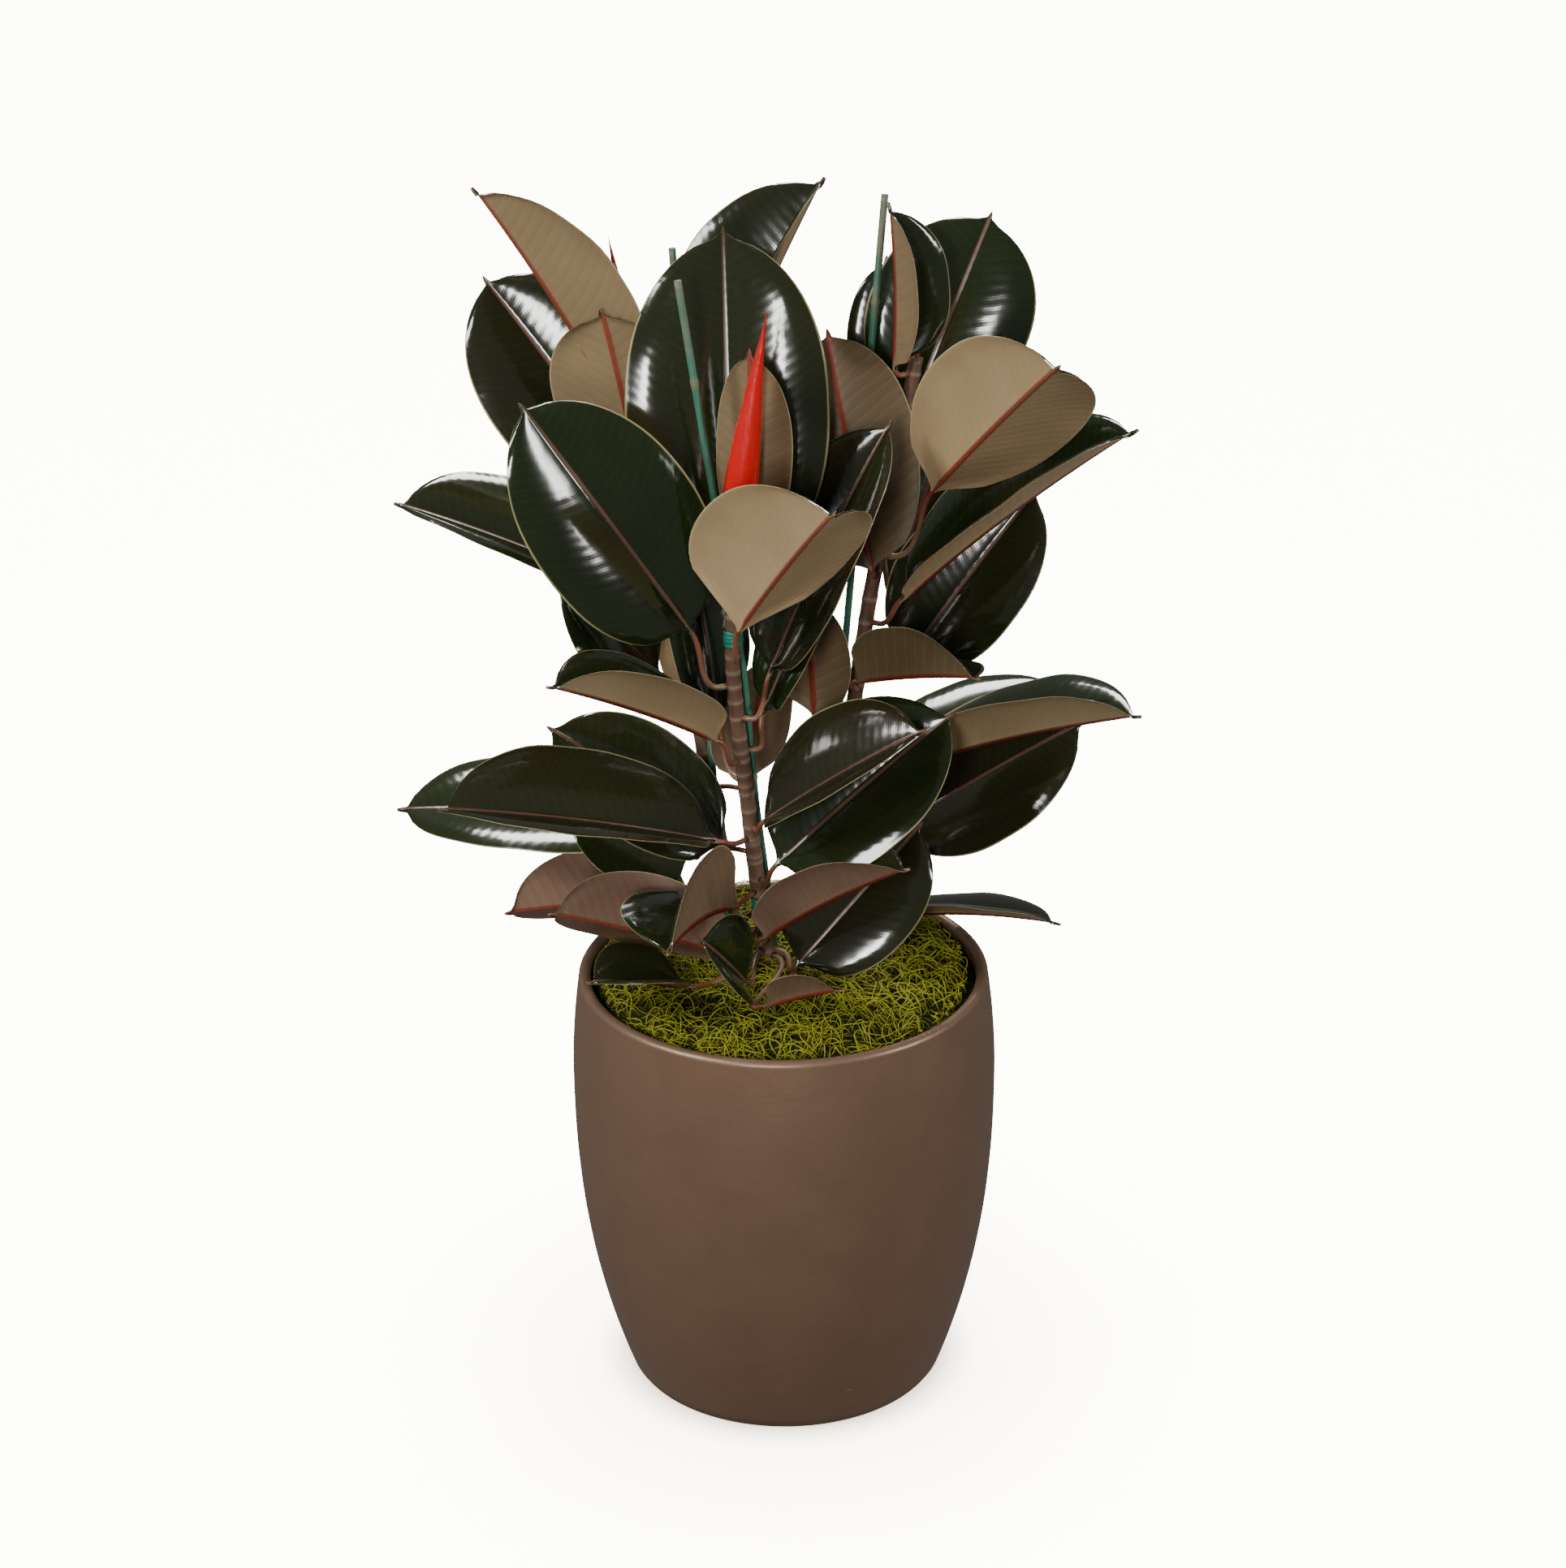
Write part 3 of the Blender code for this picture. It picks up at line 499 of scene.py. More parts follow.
# ---- Canes ---------------------------------------------------------------------------------------
# Thin bamboo canes, dyed green, pushed into the mix beside each stem. They have a raised joint every
# hand's breadth, and the dye is worn to bare tan near the top.

STAKE_RADIUS = 0.0032
CANE_WAIST = 0.80  # of that radius, between the joints
CANE_BUMP, CANE_TWIST = 0.03, 9
JOINT_MARK_REACH = 0.0030
JOINT_SWELL, JOINT_REACH = 0.0007, 0.0020
CANE_SIDES, CANE_PITCH = 16, 0.003
# Each cane's centre line, and the heights of its joints, above the planter's rim.
STAKE_LINES = {
    "front": [
        (-0.0005, 0.013, -0.130), (-0.0065, 0.0085, 0.020), (-0.0148, -0.005, 0.101),
        (-0.0185, -0.0095, 0.134), (-0.0255, -0.0275, 0.240), (-0.0325, -0.0283, 0.284),
        (-0.0372, -0.0275, 0.317), (-0.066, -0.020, 0.516),
    ],
    "left": [
        (-0.031, 0.0465, -0.130), (-0.0425, 0.0505, 0.025), (-0.0495, 0.0520, 0.134),
        (-0.0715, 0.065, 0.513),
    ],
    "right": [(0.018, 0.060, -0.130), (0.029, 0.064, 0.025), (0.073, 0.080, 0.545)],
}
CANE_JOINTS = {
    "front": (0.04, 0.155, 0.262, 0.352, 0.446),
    "left": (0.08, 0.2, 0.33, 0.44),
    "right": (0.06, 0.2, 0.34, 0.47),
}

cane, shader, draw = new_finish("dyed_bamboo", specular_ior_level=0.45)
up = draw.carried("along")
fibres = draw.specks(700, 3, stretch=(1.0, 1.0, 0.03))
wear = draw.specks(60, 3)
joint = draw.carried("mark")
dyed = (fibres * 0.6 + wear * 0.4).tint((0.016, 0.080, 0.050), (0.062, 0.200, 0.135))
bare = (fibres * 0.6 + wear * 0.4).tint((0.10, 0.082, 0.050), (0.25, 0.21, 0.14))
faded = (up + (wear - 0.5) * 0.20).above(0.44, 0.58)
coat(
    shader,
    base_color=(joint * 0.8).tint(faded.tint(dyed, bare), (0.17, 0.135, 0.075)),
    roughness=fibres * 0.2 + 0.38,
    normal=draw.bump(fibres, 0.0004),
)
for stake, line in STAKE_LINES.items():
    joints = CANE_JOINTS[stake]

    def joint_at(up):
        return max(bulge(up - level, JOINT_MARK_REACH) for level in joints)

    def cane_radius(up, angle):
        swell = JOINT_SWELL * max(bulge(up - level, JOINT_REACH) for level in joints)
        return STAKE_RADIUS * (CANE_WAIST + CANE_BUMP * math.sin(angle + up * CANE_TWIST)) + swell

    form = rod(line, cane_radius, CANE_SIDES, CANE_PITCH, joint_at)
    settle(form, f"cane_{stake}", [cane], "cane", f"stake_{stake}")

# ---- Ties ----------------------------------------------------------------------------------------
# Soft green garden tape, wound a few turns round the front stem and its cane to hold them together. Each
# turn laps over the last and lies a little out of line with it.

TAPE_THICKNESS = 0.0003
TAPE_LOOSENESS = 0.0006
TAPE_LAP, TAPE_UNEVEN = 0.00025, 0.0001
TAPE_SKEW = 0.0009
TAPE_RIB_PITCH = 0.0009
TAPE_POINTS, TAPE_ROWS = 48, 4
# Of a tie's height: how far its turns spread, and how wide one turn is.
TURN_SPREAD, TURN_WIDTH = 0.55, 0.44

tape, shader, draw = new_finish("garden_tape", coat_weight=0.25, coat_roughness=0.25)
spot = draw.node("ShaderNodeTexCoord", output="Object")
level = draw.node("ShaderNodeSeparateXYZ", {}, {0: spot}, 2)
ribs = (level * (math.tau / TAPE_RIB_PITCH)).sine() * 0.5 + 0.5
creases = draw.specks(330, 3)
coat(
    shader,
    base_color=creases.tint((0.0, 0.085, 0.055), (0.008, 0.24, 0.155)),
    roughness=creases * 0.25 + 0.28,
    normal=draw.bump(ribs * 0.3 + creases, 0.0004),
)


def wound(name, turns):
    """Tape pulled tight round two rods, from a circle stretched over them and drawn up in steps."""
    low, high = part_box(name)
    form = bmesh.new()
    for turn in range(turns):
        bottom = low.z + (high.z - low.z) * TURN_SPREAD * turn / max(1, turns - 1)
        top = bottom + (high.z - low.z) * TURN_WIDTH
        loop = bmesh.ops.create_circle(form, cap_ends=False, segments=TAPE_POINTS, radius=1)["verts"]
        ring = list({edge for vertex in loop for edge in vertex.link_edges})
        rows = [loop]
        for _ in range(TAPE_ROWS):
            grown = bmesh.ops.extrude_edge_only(form, edges=ring)["geom"]
            ring = [item for item in grown if isinstance(item, bmesh.types.BMEdge)]
            ring = [edge for edge in ring if all(vertex in grown for vertex in edge.verts)]
            rows.append([item for item in grown if isinstance(item, bmesh.types.BMVert)])
            for vertex in rows[-1]:
                vertex.co.z += 1
        for step, row in enumerate(rows):
            level = bottom + (top - bottom) * step / TAPE_ROWS
            up = level - PLANTER_HEIGHT
            ends = (along(STEM_LINES["front"], up), along(STAKE_LINES["front"], up))
            reach = (stem_radius("front", up) + TAPE_LOOSENESS, STAKE_RADIUS + TAPE_LOOSENESS)
            for vertex in row:
                outward = Vector((vertex.co.x, vertex.co.y, 0)).normalized()
                spread = [end.dot(outward) + span for end, span in zip(ends, reach)]
                nearest = 0 if spread[0] > spread[1] else 1
                lap = TAPE_LAP * turn + TAPE_UNEVEN * math.sin(step * 1.7 + turn)
                skew = TAPE_SKEW * math.sin(math.atan2(outward.y, outward.x) + turn * 2.1)
                vertex.co = ends[nearest] + outward * (reach[nearest] + lap)
                vertex.co.z = level + skew
    bmesh.ops.remove_doubles(form, verts=form.verts, dist=SAME_POINT)
    bmesh.ops.recalc_face_normals(form, faces=form.faces)
    bmesh.ops.solidify(form, geom=form.faces, thickness=TAPE_THICKNESS)
    bmesh.ops.recalc_face_normals(form, faces=form.faces)
    return form


TAPE_TURNS = 3
for name in ("tie_lower", "tie_upper"):
    settle(wound(name, TAPE_TURNS), name.replace("tie", "tape"), [tape], "tape", name)

# ---- Sheaths -------------------------------------------------------------------------------------
# The red, tightly furled sheath at each tip, which wraps the next leaf until it opens. It is smooth and
# waxy, rolled round itself so that one edge runs up it in a long spiral, and darker at its point.

# Of each sheath: its length, its greatest radius, and how far its point leans in x and y.
SHEATHS = {
    "front": (0.182, 0.0125, 0.023, 0.004),
    "left": (0.058, 0.0030, -0.008, 0.000),
    "right": (0.045, 0.0035, 0.004, 0.000),
}
# Radii up the sheath: a share of the length, and the share of the greatest radius there.
SHEATH_OUTLINE = (
    (0.0, 0.36), (0.10, 0.78), (0.26, 1.0), (0.45, 0.84), (0.62, 0.60), (0.80, 0.30), (0.93, 0.09),
    (1.0, 0.004),
)
SHEATH_SIDES, SHEATH_ROWS = 36, 60
SHEATH_WRAP = 0.9  # turns that the loose edge makes on its way up
SHEATH_LAP, SHEATH_SWELL = 0.10, 0.02
SHEATH_POINT_START = 0.97
SHEATH_GAP = 0.0002  # over the stem's top
# Reds at the bottom, in the middle and at the point.
SHEATH_REDS = {
    "front": ((0.20, 0.003, 0.002), (0.46, 0.001, 0.001), (0.28, 0.002, 0.002)),
    "left": ((0.22, 0.020, 0.016), (0.36, 0.030, 0.026), (0.16, 0.022, 0.018)),
    "right": ((0.22, 0.020, 0.016), (0.50, 0.028, 0.026), (0.20, 0.020, 0.018)),
}

furled = {}
for stem, (base, middle, point) in SHEATH_REDS.items():
    furled[stem], shader, draw = new_finish(
        f"furled_sheath_{stem}", coat_weight=0.12, coat_roughness=0.2, specular_ior_level=0.4
    )
    up = draw.carried("along")
    veins = draw.specks(900, 2, stretch=(1.0, 1.0, 0.05))
    blush = draw.specks(70, 2)
    lower = up.above(0.0, 0.22).tint(base, middle)
    whole = up.above(0.72, 1.0).tint(lower, point)
    coat(
        shader,
        base_color=(veins * 0.22 + blush * 0.18).tint(whole, (0.60, 0.012, 0.008)),
        roughness=blush * 0.15 + 0.24,
        normal=draw.bump(veins, 0.0003),
    )


def sheath_share(share):
    """Radius at a share of the length, as a share of the greatest radius."""
    for (low, first), (high, second) in zip(SHEATH_OUTLINE, SHEATH_OUTLINE[1:]):
        if share <= high:
            return first + (second - first) * ((share - low) / (high - low))
    return SHEATH_OUTLINE[-1][1]


for stem, (length, radius, lean_x, lean_y) in SHEATHS.items():
    form, places, (share_layer,) = sleeve(SHEATH_SIDES, SHEATH_ROWS, "along")
    foot_point = plant_point(STEM_LINES[stem][-1]) + Vector((0, 0, SHEATH_GAP))
    for vertex, (row, spoke) in places.items():
        share = row / SHEATH_ROWS
        shares = [share + shift for shift in (-0.04, -0.02, 0, 0.02, 0.04)]
        near = [sheath_share(min(1.0, max(0.0, place))) for place in shares]
        wide = radius * (sum(near) / len(near) if share < SHEATH_POINT_START else near[2])
        turn = spoke / SHEATH_SIDES
        lap = (turn - share * SHEATH_WRAP) % 1.0
        angle = math.tau * turn
        wide *= 1.0 - SHEATH_LAP * lap ** 6 - SHEATH_SWELL * lap
        bend = share ** 1.5
        x = wide * math.cos(angle) + lean_x * bend
        y = wide * math.sin(angle) + lean_y * bend
        vertex.co = foot_point + Vector((x, y, length * share))
        vertex[share_layer] = share
    bmesh.ops.recalc_face_normals(form, faces=form.faces)
    slot = "sheath_bright" if stem == "front" else "sheath_dull"
    settle(form, f"furled_{stem}", [furled[stem]], slot, f"sheath_{stem}")

# ---- Leaves --------------------------------------------------------------------------------------
# Thick, leathery oval blades with a short drip tip, on round stalks that carry on beneath as a raised
# midrib. They are waxy and almost black above, matte tan to mauve beneath, with a thin pale margin.

STALK_ROOT = 0.004  # how far a stalk runs straight out of its stem
STALK_SUNK = 0.0008  # how deep its root sits in the bark
COLLAR_GAP = 0.0006
STALK_BEND = 0.35
STALK_RADIUS, STALK_TAPER, STALK_TAPER_LENGTH = 0.0022, 0.0004, 0.06
DRIP_TIP = 0.012
DRIP_TIP_WIDTH = 0.007
POINT_HALF_WIDTH = 0.0002
BEYOND_OVAL = 0.6  # of the drip tip
OVAL_BLUNTNESS, OVAL_FULLNESS = 2.3, 0.58
FOLD_FULL_WIDTH = 0.006
SPREAD_LENGTH = 0.014  # over which a round stalk flattens into its blade
BLADE_DOME = 0.045
MARGIN_CURL, CURL_START = 0.018, 0.82
RIPPLE = 0.0011
SHORT_WAVE, LONG_WAVE = 0.0075, 0.021
SKIN, MARGIN_SKIN = 0.00034, 0.00006
RIB_WIDTH, RIB_WIDENING = 0.0011, 0.0012
RIB_GROOVE, RIB_HEIGHT = 0.0007, 0.0021
LEAF_ROWS = 46
STALK_ROWS = 14
# Where the lines of points run across a blade, as a share of its half width, from margin to midrib.
ACROSS = (1.0, 0.985, 0.94, 0.84, 0.70, 0.54, 0.38, 0.24, 0.13, 0.055)
SPOKES = 4 * len(ACROSS)
# The same all the way round a blade: over the top from one margin to the other, then back beneath.
OVER = [*ACROSS, 0.0, *(-share for share in reversed(ACROSS[1:]))]
AROUND = OVER + [-share for share in OVER]


def heading_vector(heading, rise):
    """A unit direction, from its heading in plan and its rise above level, in degrees."""
    heading, rise = math.radians(heading), math.radians(rise)
    level = math.cos(rise)
    return Vector((math.cos(heading) * level, math.sin(heading) * level, math.sin(rise)))


def on_curve(points, share):
    """Point and direction on a cubic curve."""
    a, b, c, d = points
    rest = 1 - share
    point = a * rest ** 3 + b * 3 * rest ** 2 * share + c * 3 * rest * share ** 2 + d * share ** 3
    tangent = (b - a) * rest ** 2 + (c - b) * 2 * rest * share + (d - c) * share ** 2
    return point, tangent.normalized()


def half_width(share, length, width, belly):
    """Half the blade's width at a share of its length: a blunt oval that ends in a narrow drip tip."""
    oval_end = 1 - BEYOND_OVAL * DRIP_TIP / length
    along_oval = min(share / oval_end, 1.0) ** (math.log(0.5) / math.log(belly))
    oval = width / 2 * max(0.0, 1 - abs(2 * along_oval - 1) ** OVAL_BLUNTNESS) ** OVAL_FULLNESS
    tip = DRIP_TIP_WIDTH / 2 * min(1.0, (1 - share) * length / DRIP_TIP) ** 0.8 + POINT_HALF_WIDTH
    return oval if share < 0.5 else (oval ** 4 + tip ** 4) ** 0.25


def leaf_rings(plan):
    """Rings from the stem to the tip. Each has a centre, direction, facing and half width, a share of the
    blade's length, a distance from the blade's base, and how far it has flattened."""
    centre = along(STEM_LINES[plan["stem"]], plan["up"])
    stem_side = stem_radius(plan["stem"], plan["up"])
    base = centre + heading_vector(*plan["stalk"][1:]) * plan["stalk"][0]
    length, heading, rise = plan["blade"]
    forward, upward = heading_vector(heading, rise), heading_vector(heading, rise + 90)
    roll = math.radians(plan["roll"])
    facing = upward * math.cos(roll) + forward.cross(upward) * math.sin(roll)
    out = heading_vector(plan["root"], 0)
    start = centre + out * (stem_side - STALK_SUNK)
    collar = centre + out * (stem_side + COLLAR_GAP + STALK_ROOT)
    reach = (base - collar).length
    stalk = (collar, collar + out * reach * STALK_BEND, base - forward * reach * STALK_BEND, base)
    near, far = plan["arch"]
    midrib = (
        base,
        base + forward * length / 3 + facing * near * length,
        base + forward * length * 2 / 3 + facing * far * length,
        base + forward * length,
    )
    rings = [(start, out, facing, 0.0, 0.0, -reach - STALK_ROOT, 0.0)]
    for row in range(STALK_ROWS):
        share = row / STALK_ROWS
        point, tangent = on_curve(stalk, share)
        rings.append((point, tangent, facing, 0.0, 0.0, -reach * (1 - share), 0.0))
    blade_rows = LEAF_ROWS - STALK_ROWS - 1
    for row in range(blade_rows + 1):
        even = row / blade_rows
        share = 0.45 * even + 0.55 * (0.5 - 0.5 * math.cos(math.pi * even))
        point, tangent = on_curve(midrib, share)
        wide = half_width(share, length, plan["width"], plan["belly"])
        spread = min(1.0, share * length / SPREAD_LENGTH)
        flat = spread * spread * (3 - 2 * spread)
        rings.append((point, tangent, facing, wide, share, share * length, flat))
    return rings


def make_leaf(plan, seed):
    """A leaf shaped from a closed sleeve whose rings go from the round stalk to the flat blade."""
    form, places, layers = sleeve(SPOKES, LEAF_ROWS, "across", "reach", "along", "tone")
    rings = leaf_rings(plan)
    far_margin = len(OVER)
    chance = random.Random(seed)
    phases = [chance.uniform(0, math.tau) for _ in range(6)]
    tone = chance.random()
    width = plan["width"]
    for vertex, (row, spoke) in places.items():
        point, tangent, facing, wide, share, distance, flat = rings[row]
        upward = (facing - tangent * facing.dot(tangent)).normalized()
        sideways = tangent.cross(upward)
        across = AROUND[spoke]
        size = abs(across)
        side = 1 if across > 0 else -1
        above = 0 if size == 1.0 else 1 if spoke < far_margin else -1
        angle = math.tau * spoke / SPOKES
        taper = 1 + distance / STALK_TAPER_LENGTH if distance < 0 else 1
        thick = STALK_RADIUS - STALK_TAPER * taper
        round_x, round_y = math.cos(angle) * thick, math.sin(angle) * thick
        fold = math.radians(plan["fold"]) * min(1.0, wide / FOLD_FULL_WIDTH)
        reach = wide * size
        dome = BLADE_DOME * wide * math.sin(math.pi * min(1.0, size * 1.05)) * flat
        curl = -MARGIN_CURL * width * max(0.0, size - CURL_START) / (1 - CURL_START) * flat
        short_phase, long_phase = (phases[0], phases[2]) if side > 0 else (phases[1], phases[3])
        ripple = size * size * RIPPLE * plan["wave"] * min(1.0, wide / (0.25 * width))
        ripple *= (
            math.sin(distance / SHORT_WAVE + short_phase) * 0.35
            + math.sin(distance / LONG_WAVE + long_phase)
        )
        rib = bulge(reach, RIB_WIDTH + RIB_WIDENING * (1 - share)) * (1 - share) ** 0.6
        lift = above * (SKIN * (1 - size ** 8) + MARGIN_SKIN)
        lift -= rib * (RIB_GROOVE if above > 0 else RIB_HEIGHT)
        flat_x = side * reach * math.cos(fold)
        flat_y = reach * math.sin(fold) + dome + curl + ripple + lift
        x = round_x + (flat_x - round_x) * flat
        y = round_y + (flat_y - round_y) * flat
        vertex.co = point + sideways * x + upward * y
        values = (across, reach, distance, tone if above > 0 else plan["under"])
        for layer, value in zip(layers, values):
            vertex[layer] = value
    for face in form.faces:
        spokes = [places[vertex][1] for vertex in face.verts]
        rows = [places[vertex][0] for vertex in face.verts]
        top = max(spokes) <= far_margin and len(face.verts) == 4
        face.material_index = 2 if min(rows) < STALK_ROWS else 0 if top else 1
    bmesh.ops.recalc_face_normals(form, faces=form.faces)
    return form


SIDE_VEIN_LEAN, SIDE_VEIN_BEND = 0.42, 2.2


def leaf_veins(draw, pitch):
    """Fine side veins that leave the midrib at a wide angle and bend towards the tip."""
    reach = draw.carried("reach")
    wander = (draw.specks(28, 1) - 0.5) * 0.006
    bend = reach * SIDE_VEIN_LEAN + reach * reach * SIDE_VEIN_BEND
    phase = (draw.carried("along") + wander - bend) * (math.tau / pitch)
    return phase.sine() * 0.5 + 0.5


upper, shader, draw = new_finish(
    "leaf_upper_side", coat_weight=0.25, coat_roughness=0.06, specular_ior_level=0.55
)
size = draw.carried("across").size()
reach = draw.carried("reach")
tone = draw.carried("tone")
main_veins = leaf_veins(draw, 0.0078)
fine_veins = leaf_veins(draw, 0.0021)
clouds = draw.specks(22, 2)
film = draw.specks(85, 4, warp=0.4)
green = (clouds * 0.7 + tone * 0.3).tint((0.0062, 0.0115, 0.0028), (0.0145, 0.0250, 0.0062))
burgundy = (clouds * 0.6 + tone * 0.55 - 0.35).tint(green, (0.0180, 0.0090, 0.0070))
veined = (main_veins.above(0.90, 1.0) * 0.16).tint(burgundy, (0.030, 0.040, 0.017))
rib = reach.above(0.0017, 0.0008) * (1 - draw.carried("along").above(0.13, 0.24) * 0.6)
ribbed = (rib * 0.85).tint(veined, clouds.tint((0.088, 0.036, 0.027), (0.170, 0.085, 0.058)))
edge = size.above(0.968, 0.990) * (clouds * 0.5 + 0.65)
coat(
    shader,
    base_color=edge.tint(ribbed, (0.290, 0.260, 0.120)),
    roughness=film * 0.10 + rib * 0.22 + edge * 0.2 + 0.085,
    normal=draw.bump(main_veins + fine_veins * 0.12, 0.000035, draw.bump(clouds, 0.0008)),
)

beneath, shader, draw = new_finish("leaf_underside", specular_ior_level=0.35)
size = draw.carried("across").size()
reach = draw.carried("reach")
tone = draw.carried("tone")
main_veins = leaf_veins(draw, 0.0088)
fine_veins = leaf_veins(draw, 0.0019)
clouds = draw.specks(24, 3)
tan = clouds.tint((0.255, 0.180, 0.092), (0.370, 0.265, 0.145))
olive = clouds.tint((0.075, 0.052, 0.024), (0.130, 0.092, 0.045))
mauve = clouds.tint((0.150, 0.083, 0.056), (0.250, 0.150, 0.105))
ground = tone.above(0.5, 1.0).tint(tone.above(0.05, 0.55).tint(tan, olive), mauve)
lined = (fine_veins * 0.10 + main_veins.above(0.85, 1.0) * 0.07).tint(ground, (0.36, 0.270, 0.16))
# Darker in the furrows between the fine side veins: painted shade.
shade = (1 - fine_veins.above(0.0, 0.35)) * 0.12
lined = shade.tint(lined, (0.06, 0.038, 0.022))
rib = reach.above(0.0030, 0.0014)
red_rib = draw.carried("along").above(0.02, 0.20).tint((0.18, 0.018, 0.010), (0.20, 0.048, 0.028))
ribbed = (rib * 0.9).tint(lined, red_rib)
edge = size.above(0.972, 0.992) * (clouds * 0.4 + 0.5)
dust = draw.specks(650, 0).above(0.86, 0.90) * draw.specks(30, 1).above(0.45, 0.65) * 0.45
coat(
    shader,
    base_color=dust.tint(edge.tint(ribbed, (0.40, 0.34, 0.19)), (0.55, 0.50, 0.42)),
    roughness=clouds * 0.12 + 0.40 - rib * 0.1,
    normal=draw.bump(main_veins * 0.8 + fine_veins * 0.45, 0.00012),
)

stalks, shader, draw = new_finish("leaf_stalk", specular_ior_level=0.5, coat_weight=0.1)
fibres = draw.specks(600, 2)
clouds = draw.specks(60, 2)
blend = draw.carried("along").above(-0.045, 0.0)
base_brown = clouds.tint((0.125, 0.075, 0.042), (0.215, 0.135, 0.078))
coat(
    shader,
    base_color=(blend * 0.8 + fibres * 0.1).tint(base_brown, (0.185, 0.048, 0.026)),
    roughness=fibres * 0.15 + 0.30,
    normal=draw.bump(fibres, 0.0002),
)

for number, plan in enumerate(LEAVES):
    name = plan["name"]
    form = make_leaf(plan, number)
    settle(form, f"blade_{name}", [upper, beneath, stalks], "leaf", f"leaf_{name}")

# ---- Moss ----------------------------------------------------------------------------------------
# A loose mat of dried, curly moss pressed over the potting mix to the planter's wall. It is many thin
# strands, bright yellow-green where they stand high and painted dark brown-green lower down and on the
# lumpy cushion they tangle over: painted shade inside the mat.

MOSS_LOW, MOSS_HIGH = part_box("moss_topdressing")
MOSS_EDGE = MOSS_HIGH.x
MOSS_EDGE_LEVEL = PLANTER_HEIGHT - 0.007
MOSS_CROWN = 0.014
MOSS_TILT = 0.03
CUSHION_POINTS, CUSHION_RINGS, CUSHION_RING_PITCH = 96, 34, 0.0036
CUSHION_GAP = 0.0004  # to the planter's wall
CUSHION_DEPTH = 0.0035  # below the strands' tops
CUSHION_EVEN_EDGE = 0.01


def moss_level(x, y):
    """Height of the moss cushion's even surface at a point in plan."""
    return MOSS_EDGE_LEVEL + MOSS_CROWN * (1 - (x * x + y * y) / MOSS_EDGE ** 2) + MOSS_TILT * y


def moss_lump(x, y):
    """Lumps of the cushion, large and small."""
    lump = noise.noise(Vector((x * 45, y * 45, 0.3))) * 0.0040
    return lump + noise.noise(Vector((x * 130, y * 130, 4.1))) * 0.0018


moss, shader, draw = new_finish("dried_moss", specular_ior_level=0.25)
clumps = draw.specks(32, 3)
strand_mix = draw.specks(330, 1)
# Strands are painted darker the nearer they lie to the cushion: painted shade inside the mat.
painted_light_with_lift = draw.carried("lift").above(-0.001, 0.010)
brightness = clumps * 0.35 + strand_mix * 0.5 + painted_light_with_lift * 0.85 - 0.48
bright = brightness.tint((0.018, 0.022, 0.002), (0.320, 0.325, 0.020))
straw = strand_mix.above(0.66, 0.76) * 0.6
coat(
    shader,
    base_color=straw.tint(bright, (0.230, 0.190, 0.040)),
    roughness=strand_mix * 0.2 + 0.55,
    normal=draw.bump(draw.specks(1500, 2), 0.0002),
)

# The cushion is painted near-black olive all over: painted shade under the strands.
shaded_moss, shader, draw = new_finish("shaded_moss", specular_ior_level=0.15)
depths = draw.specks(240, 4)
coat(
    shader,
    base_color=depths.tint((0.010, 0.011, 0.002), (0.060, 0.062, 0.008)),
    roughness=depths * 0.1 + 0.8,
    normal=draw.bump(depths, 0.0015),
)

cushion = bmesh.new()
cushion_radius = MOSS_EDGE - CUSHION_GAP
bmesh.ops.create_circle(cushion, cap_ends=True, segments=CUSHION_POINTS, radius=cushion_radius)
for _ in range(CUSHION_RINGS):
    middle = [face for face in cushion.faces if len(face.verts) > 4]
    bmesh.ops.inset_region(cushion, faces=middle, thickness=CUSHION_RING_PITCH, use_even_offset=False)
for vertex in cushion.verts:
    x, y = vertex.co.x, vertex.co.y
    from_wall = min(1.0, (MOSS_EDGE - math.hypot(x, y)) / CUSHION_EVEN_EDGE)
    vertex.co.z = moss_level(x, y) - CUSHION_DEPTH + moss_lump(x, y) * from_wall
skirt = [edge for edge in cushion.edges if edge.is_boundary]
walls = bmesh.ops.extrude_edge_only(cushion, edges=skirt)["geom"]
for item in walls:
    if isinstance(item, bmesh.types.BMVert):
        item.co.z = MOSS_LOW.z
bmesh.ops.holes_fill(cushion, edges=[edge for edge in cushion.edges if edge.is_boundary])
bmesh.ops.recalc_face_normals(cushion, faces=cushion.faces)
settle(cushion, "moss_cushion", [shaded_moss], "moss", "moss_topdressing")

STRAND_PATCHES, STRANDS_TO_A_PATCH = 4, 820
STRAND_POINTS = 9
STRAND_ROOT_DEPTH = 0.0040
STRAND_INSET, STRAND_LIMIT = 0.007, 0.0025  # from the planter's wall
STRAND_CURL = (0.1, 0.70)
STRAND_STEP = (0.0024, 0.0052)
STRAND_RISE = (-0.001, 0.0135)
STRAND_THICKNESS = (0.00026, 0.00050)
STRAND_END = 0.45  # of that thickness, at the two ends


def strand_floor(x, y):
    """The level just inside the cushion that a strand's ends lie at."""
    return moss_level(x, y) - STRAND_ROOT_DEPTH + moss_lump(x, y)


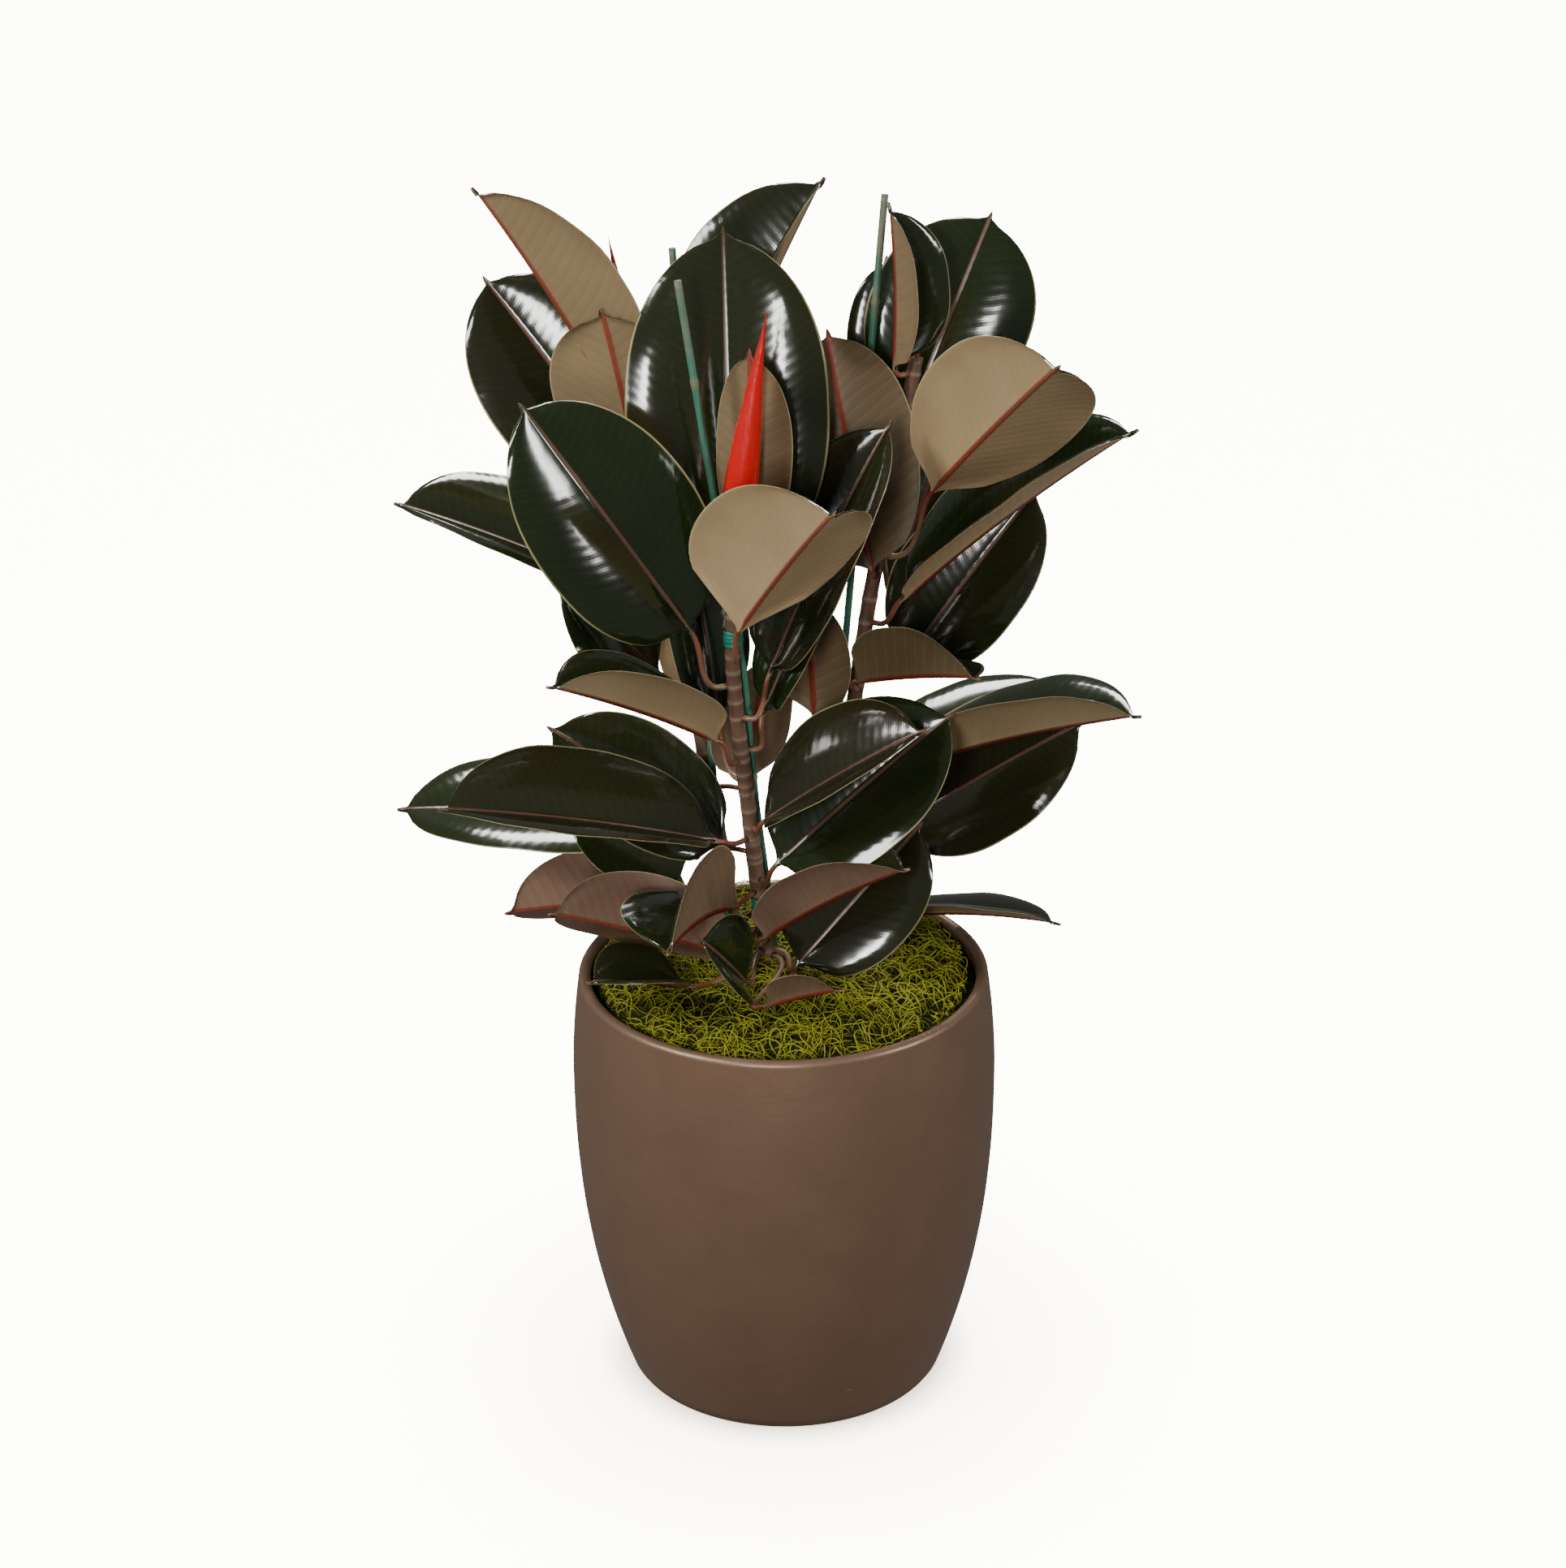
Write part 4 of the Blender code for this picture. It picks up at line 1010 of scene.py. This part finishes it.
def strand_points(chance):
    """One curly strand: a loose, flattened coil that lies on the cushion."""
    radius = (MOSS_EDGE - STRAND_INSET) * math.sqrt(chance.random())
    around = chance.uniform(0, math.tau)
    spot = Vector((radius * math.cos(around), radius * math.sin(around), 0))
    heading = chance.uniform(0, math.tau)
    curl = chance.choice((-1, 1)) * chance.uniform(*STRAND_CURL)
    step = chance.uniform(*STRAND_STEP)
    high = chance.uniform(*STRAND_RISE)
    points = []
    for number in range(STRAND_POINTS):
        loop = high * math.sin(math.pi * number / (STRAND_POINTS - 1)) ** 0.7
        points.append(Vector((spot.x, spot.y, strand_floor(spot.x, spot.y) + loop)))
        heading += curl * chance.uniform(0.5, 1.2)
        onward = spot + Vector((math.cos(heading), math.sin(heading), 0)) * step
        if onward.length > MOSS_EDGE - STRAND_LIMIT:
            heading += math.pi / 2
            onward = spot * 0.97
        spot = onward
    return points


chance = random.Random(11)
for patch in range(STRAND_PATCHES):
    curve = bpy.data.curves.new(f"moss_strands_{patch + 1}", "CURVE")
    curve.dimensions = "3D"
    curve.bevel_depth = 1.0
    curve.bevel_resolution = 0
    curve.resolution_u = 2
    curve.use_fill_caps = True
    for _ in range(STRANDS_TO_A_PATCH):
        points = strand_points(chance)
        thick = chance.uniform(*STRAND_THICKNESS)
        spline = curve.splines.new("NURBS")
        spline.points.add(len(points) - 1)
        spline.order_u = 3
        spline.use_endpoint_u = True
        for number, (target, point) in enumerate(zip(spline.points, points)):
            target.co = (*point, 1.0)
            target.radius = thick * (STRAND_END if number in (0, STRAND_POINTS - 1) else 1.0)
    drawn = bpy.data.objects.new("drawn", curve)
    bpy.context.scene.collection.objects.link(drawn)
    mesh = bpy.data.meshes.new_from_object(drawn.evaluated_get(bpy.context.evaluated_depsgraph_get()))
    bpy.data.objects.remove(drawn)
    form = bmesh.new()
    form.from_mesh(mesh)
    bmesh.ops.remove_doubles(form, verts=form.verts, dist=0.000001)
    lift = form.verts.layers.float.new("lift")
    for vertex in form.verts:
        vertex[lift] = vertex.co.z - strand_floor(vertex.co.x, vertex.co.y)
    settle(form, f"moss_strands_{patch + 1}", [moss], "moss")

# ---- Room ----------------------------------------------------------------------------------------
# A plain pale floor that glows evenly but for a painted soft shadow round the planter's foot, four soft
# lamps, and the camera in front, above the plant and looking down at it.

FLOOR_RADIUS = 14
floor_form = bmesh.new()
bmesh.ops.create_circle(floor_form, cap_ends=True, segments=96, radius=FLOOR_RADIUS)
floor_mesh = bpy.data.meshes.new("floor")
floor_form.to_mesh(floor_mesh)
floor_form.free()
floor = bpy.data.objects.new("floor", floor_mesh)
bpy.context.scene.collection.objects.link(floor)
pale, shader, draw = new_finish(
    "pale_floor", roughness=0.7, specular_ior_level=0.2, emission_strength=13.0
)
# Seen by the camera alone, so the glow lights nothing and no leaf mirrors it.
floor.visible_diffuse = False
floor.visible_glossy = False
spot = draw.node("ShaderNodeTexCoord", output="Object")
from_axis = draw.node("ShaderNodeVectorMath", {"operation": "LENGTH"}, {0: spot}, "Value")
# The glow is darker and warmer near the planter's foot: a painted contact shadow.
clear_of_painted_shadow = from_axis.above(0.105, 0.150) * 0.6 + from_axis.above(0.12, 0.34) * 0.4
coat(
    shader,
    base_color=draw.specks(3).tint((0.86, 0.85, 0.83), (0.88, 0.87, 0.85)),
    emission_color=clear_of_painted_shadow.tint((0.10, 0.07, 0.045), (1.0, 0.95, 0.86)),
)
floor_mesh.materials.append(pale)

WARM_WHITE = (1.0, 0.985, 0.96)
world = bpy.data.worlds.new("studio")
bpy.context.scene.world = world
world.use_nodes = True
background = world.node_tree.nodes["Background"]
background.inputs["Color"].default_value = (*WARM_WHITE, 1.0)
background.inputs["Strength"].default_value = 0.16

# Of each lamp: its place, what it is aimed at, its width and height, and its power.
LAMPS = {
    "front_box": ((-0.5, -3.0, 1.50), (0.0, 0.0, 0.6), 0.4, 0.8, 56),
    "left_box": ((-1.84, -1.07, 2.04), (0.0, 0.0, 0.55), 0.6, 1.0, 64),
    "right_box": ((2.3, -0.95, 1.35), (0.0, 0.0, 0.6), 0.30, 0.9, 34),
    "overhead": ((0.1, 1.5, 2.7), (0.0, 0.0, 0.5), 1.2, 0.8, 100),
}
for name, (place, aim, wide, tall, power) in LAMPS.items():
    lamp = bpy.data.lights.new(name, "AREA")
    lamp.shape = "RECTANGLE"
    lamp.size, lamp.size_y = wide, tall
    lamp.energy = power
    lamp.color = WARM_WHITE
    stand = bpy.data.objects.new(name, lamp)
    stand.location = place
    stand.rotation_euler = (Vector(aim) - Vector(place)).to_track_quat("-Z", "Y").to_euler()
    bpy.context.scene.collection.objects.link(stand)

CAMERA_PLACE = (0.0, -2.5, 1.587)
CAMERA_DOWN = 24.28
CAMERA_ROLL = -0.45
CAMERA_LENS, CAMERA_SENSOR = 89.76, 36.0
camera = bpy.data.objects.new("camera", bpy.data.cameras.new("camera"))
camera.data.sensor_fit = "VERTICAL"
camera.data.sensor_height = CAMERA_SENSOR
camera.data.lens = CAMERA_LENS
camera.data.shift_x = 0.0007
camera.location = CAMERA_PLACE
camera.rotation_euler = (math.radians(90 - CAMERA_DOWN), 0.0, 0.0)
camera.rotation_euler.rotate_axis("Z", math.radians(CAMERA_ROLL))
bpy.context.scene.collection.objects.link(camera)
bpy.context.scene.camera = camera
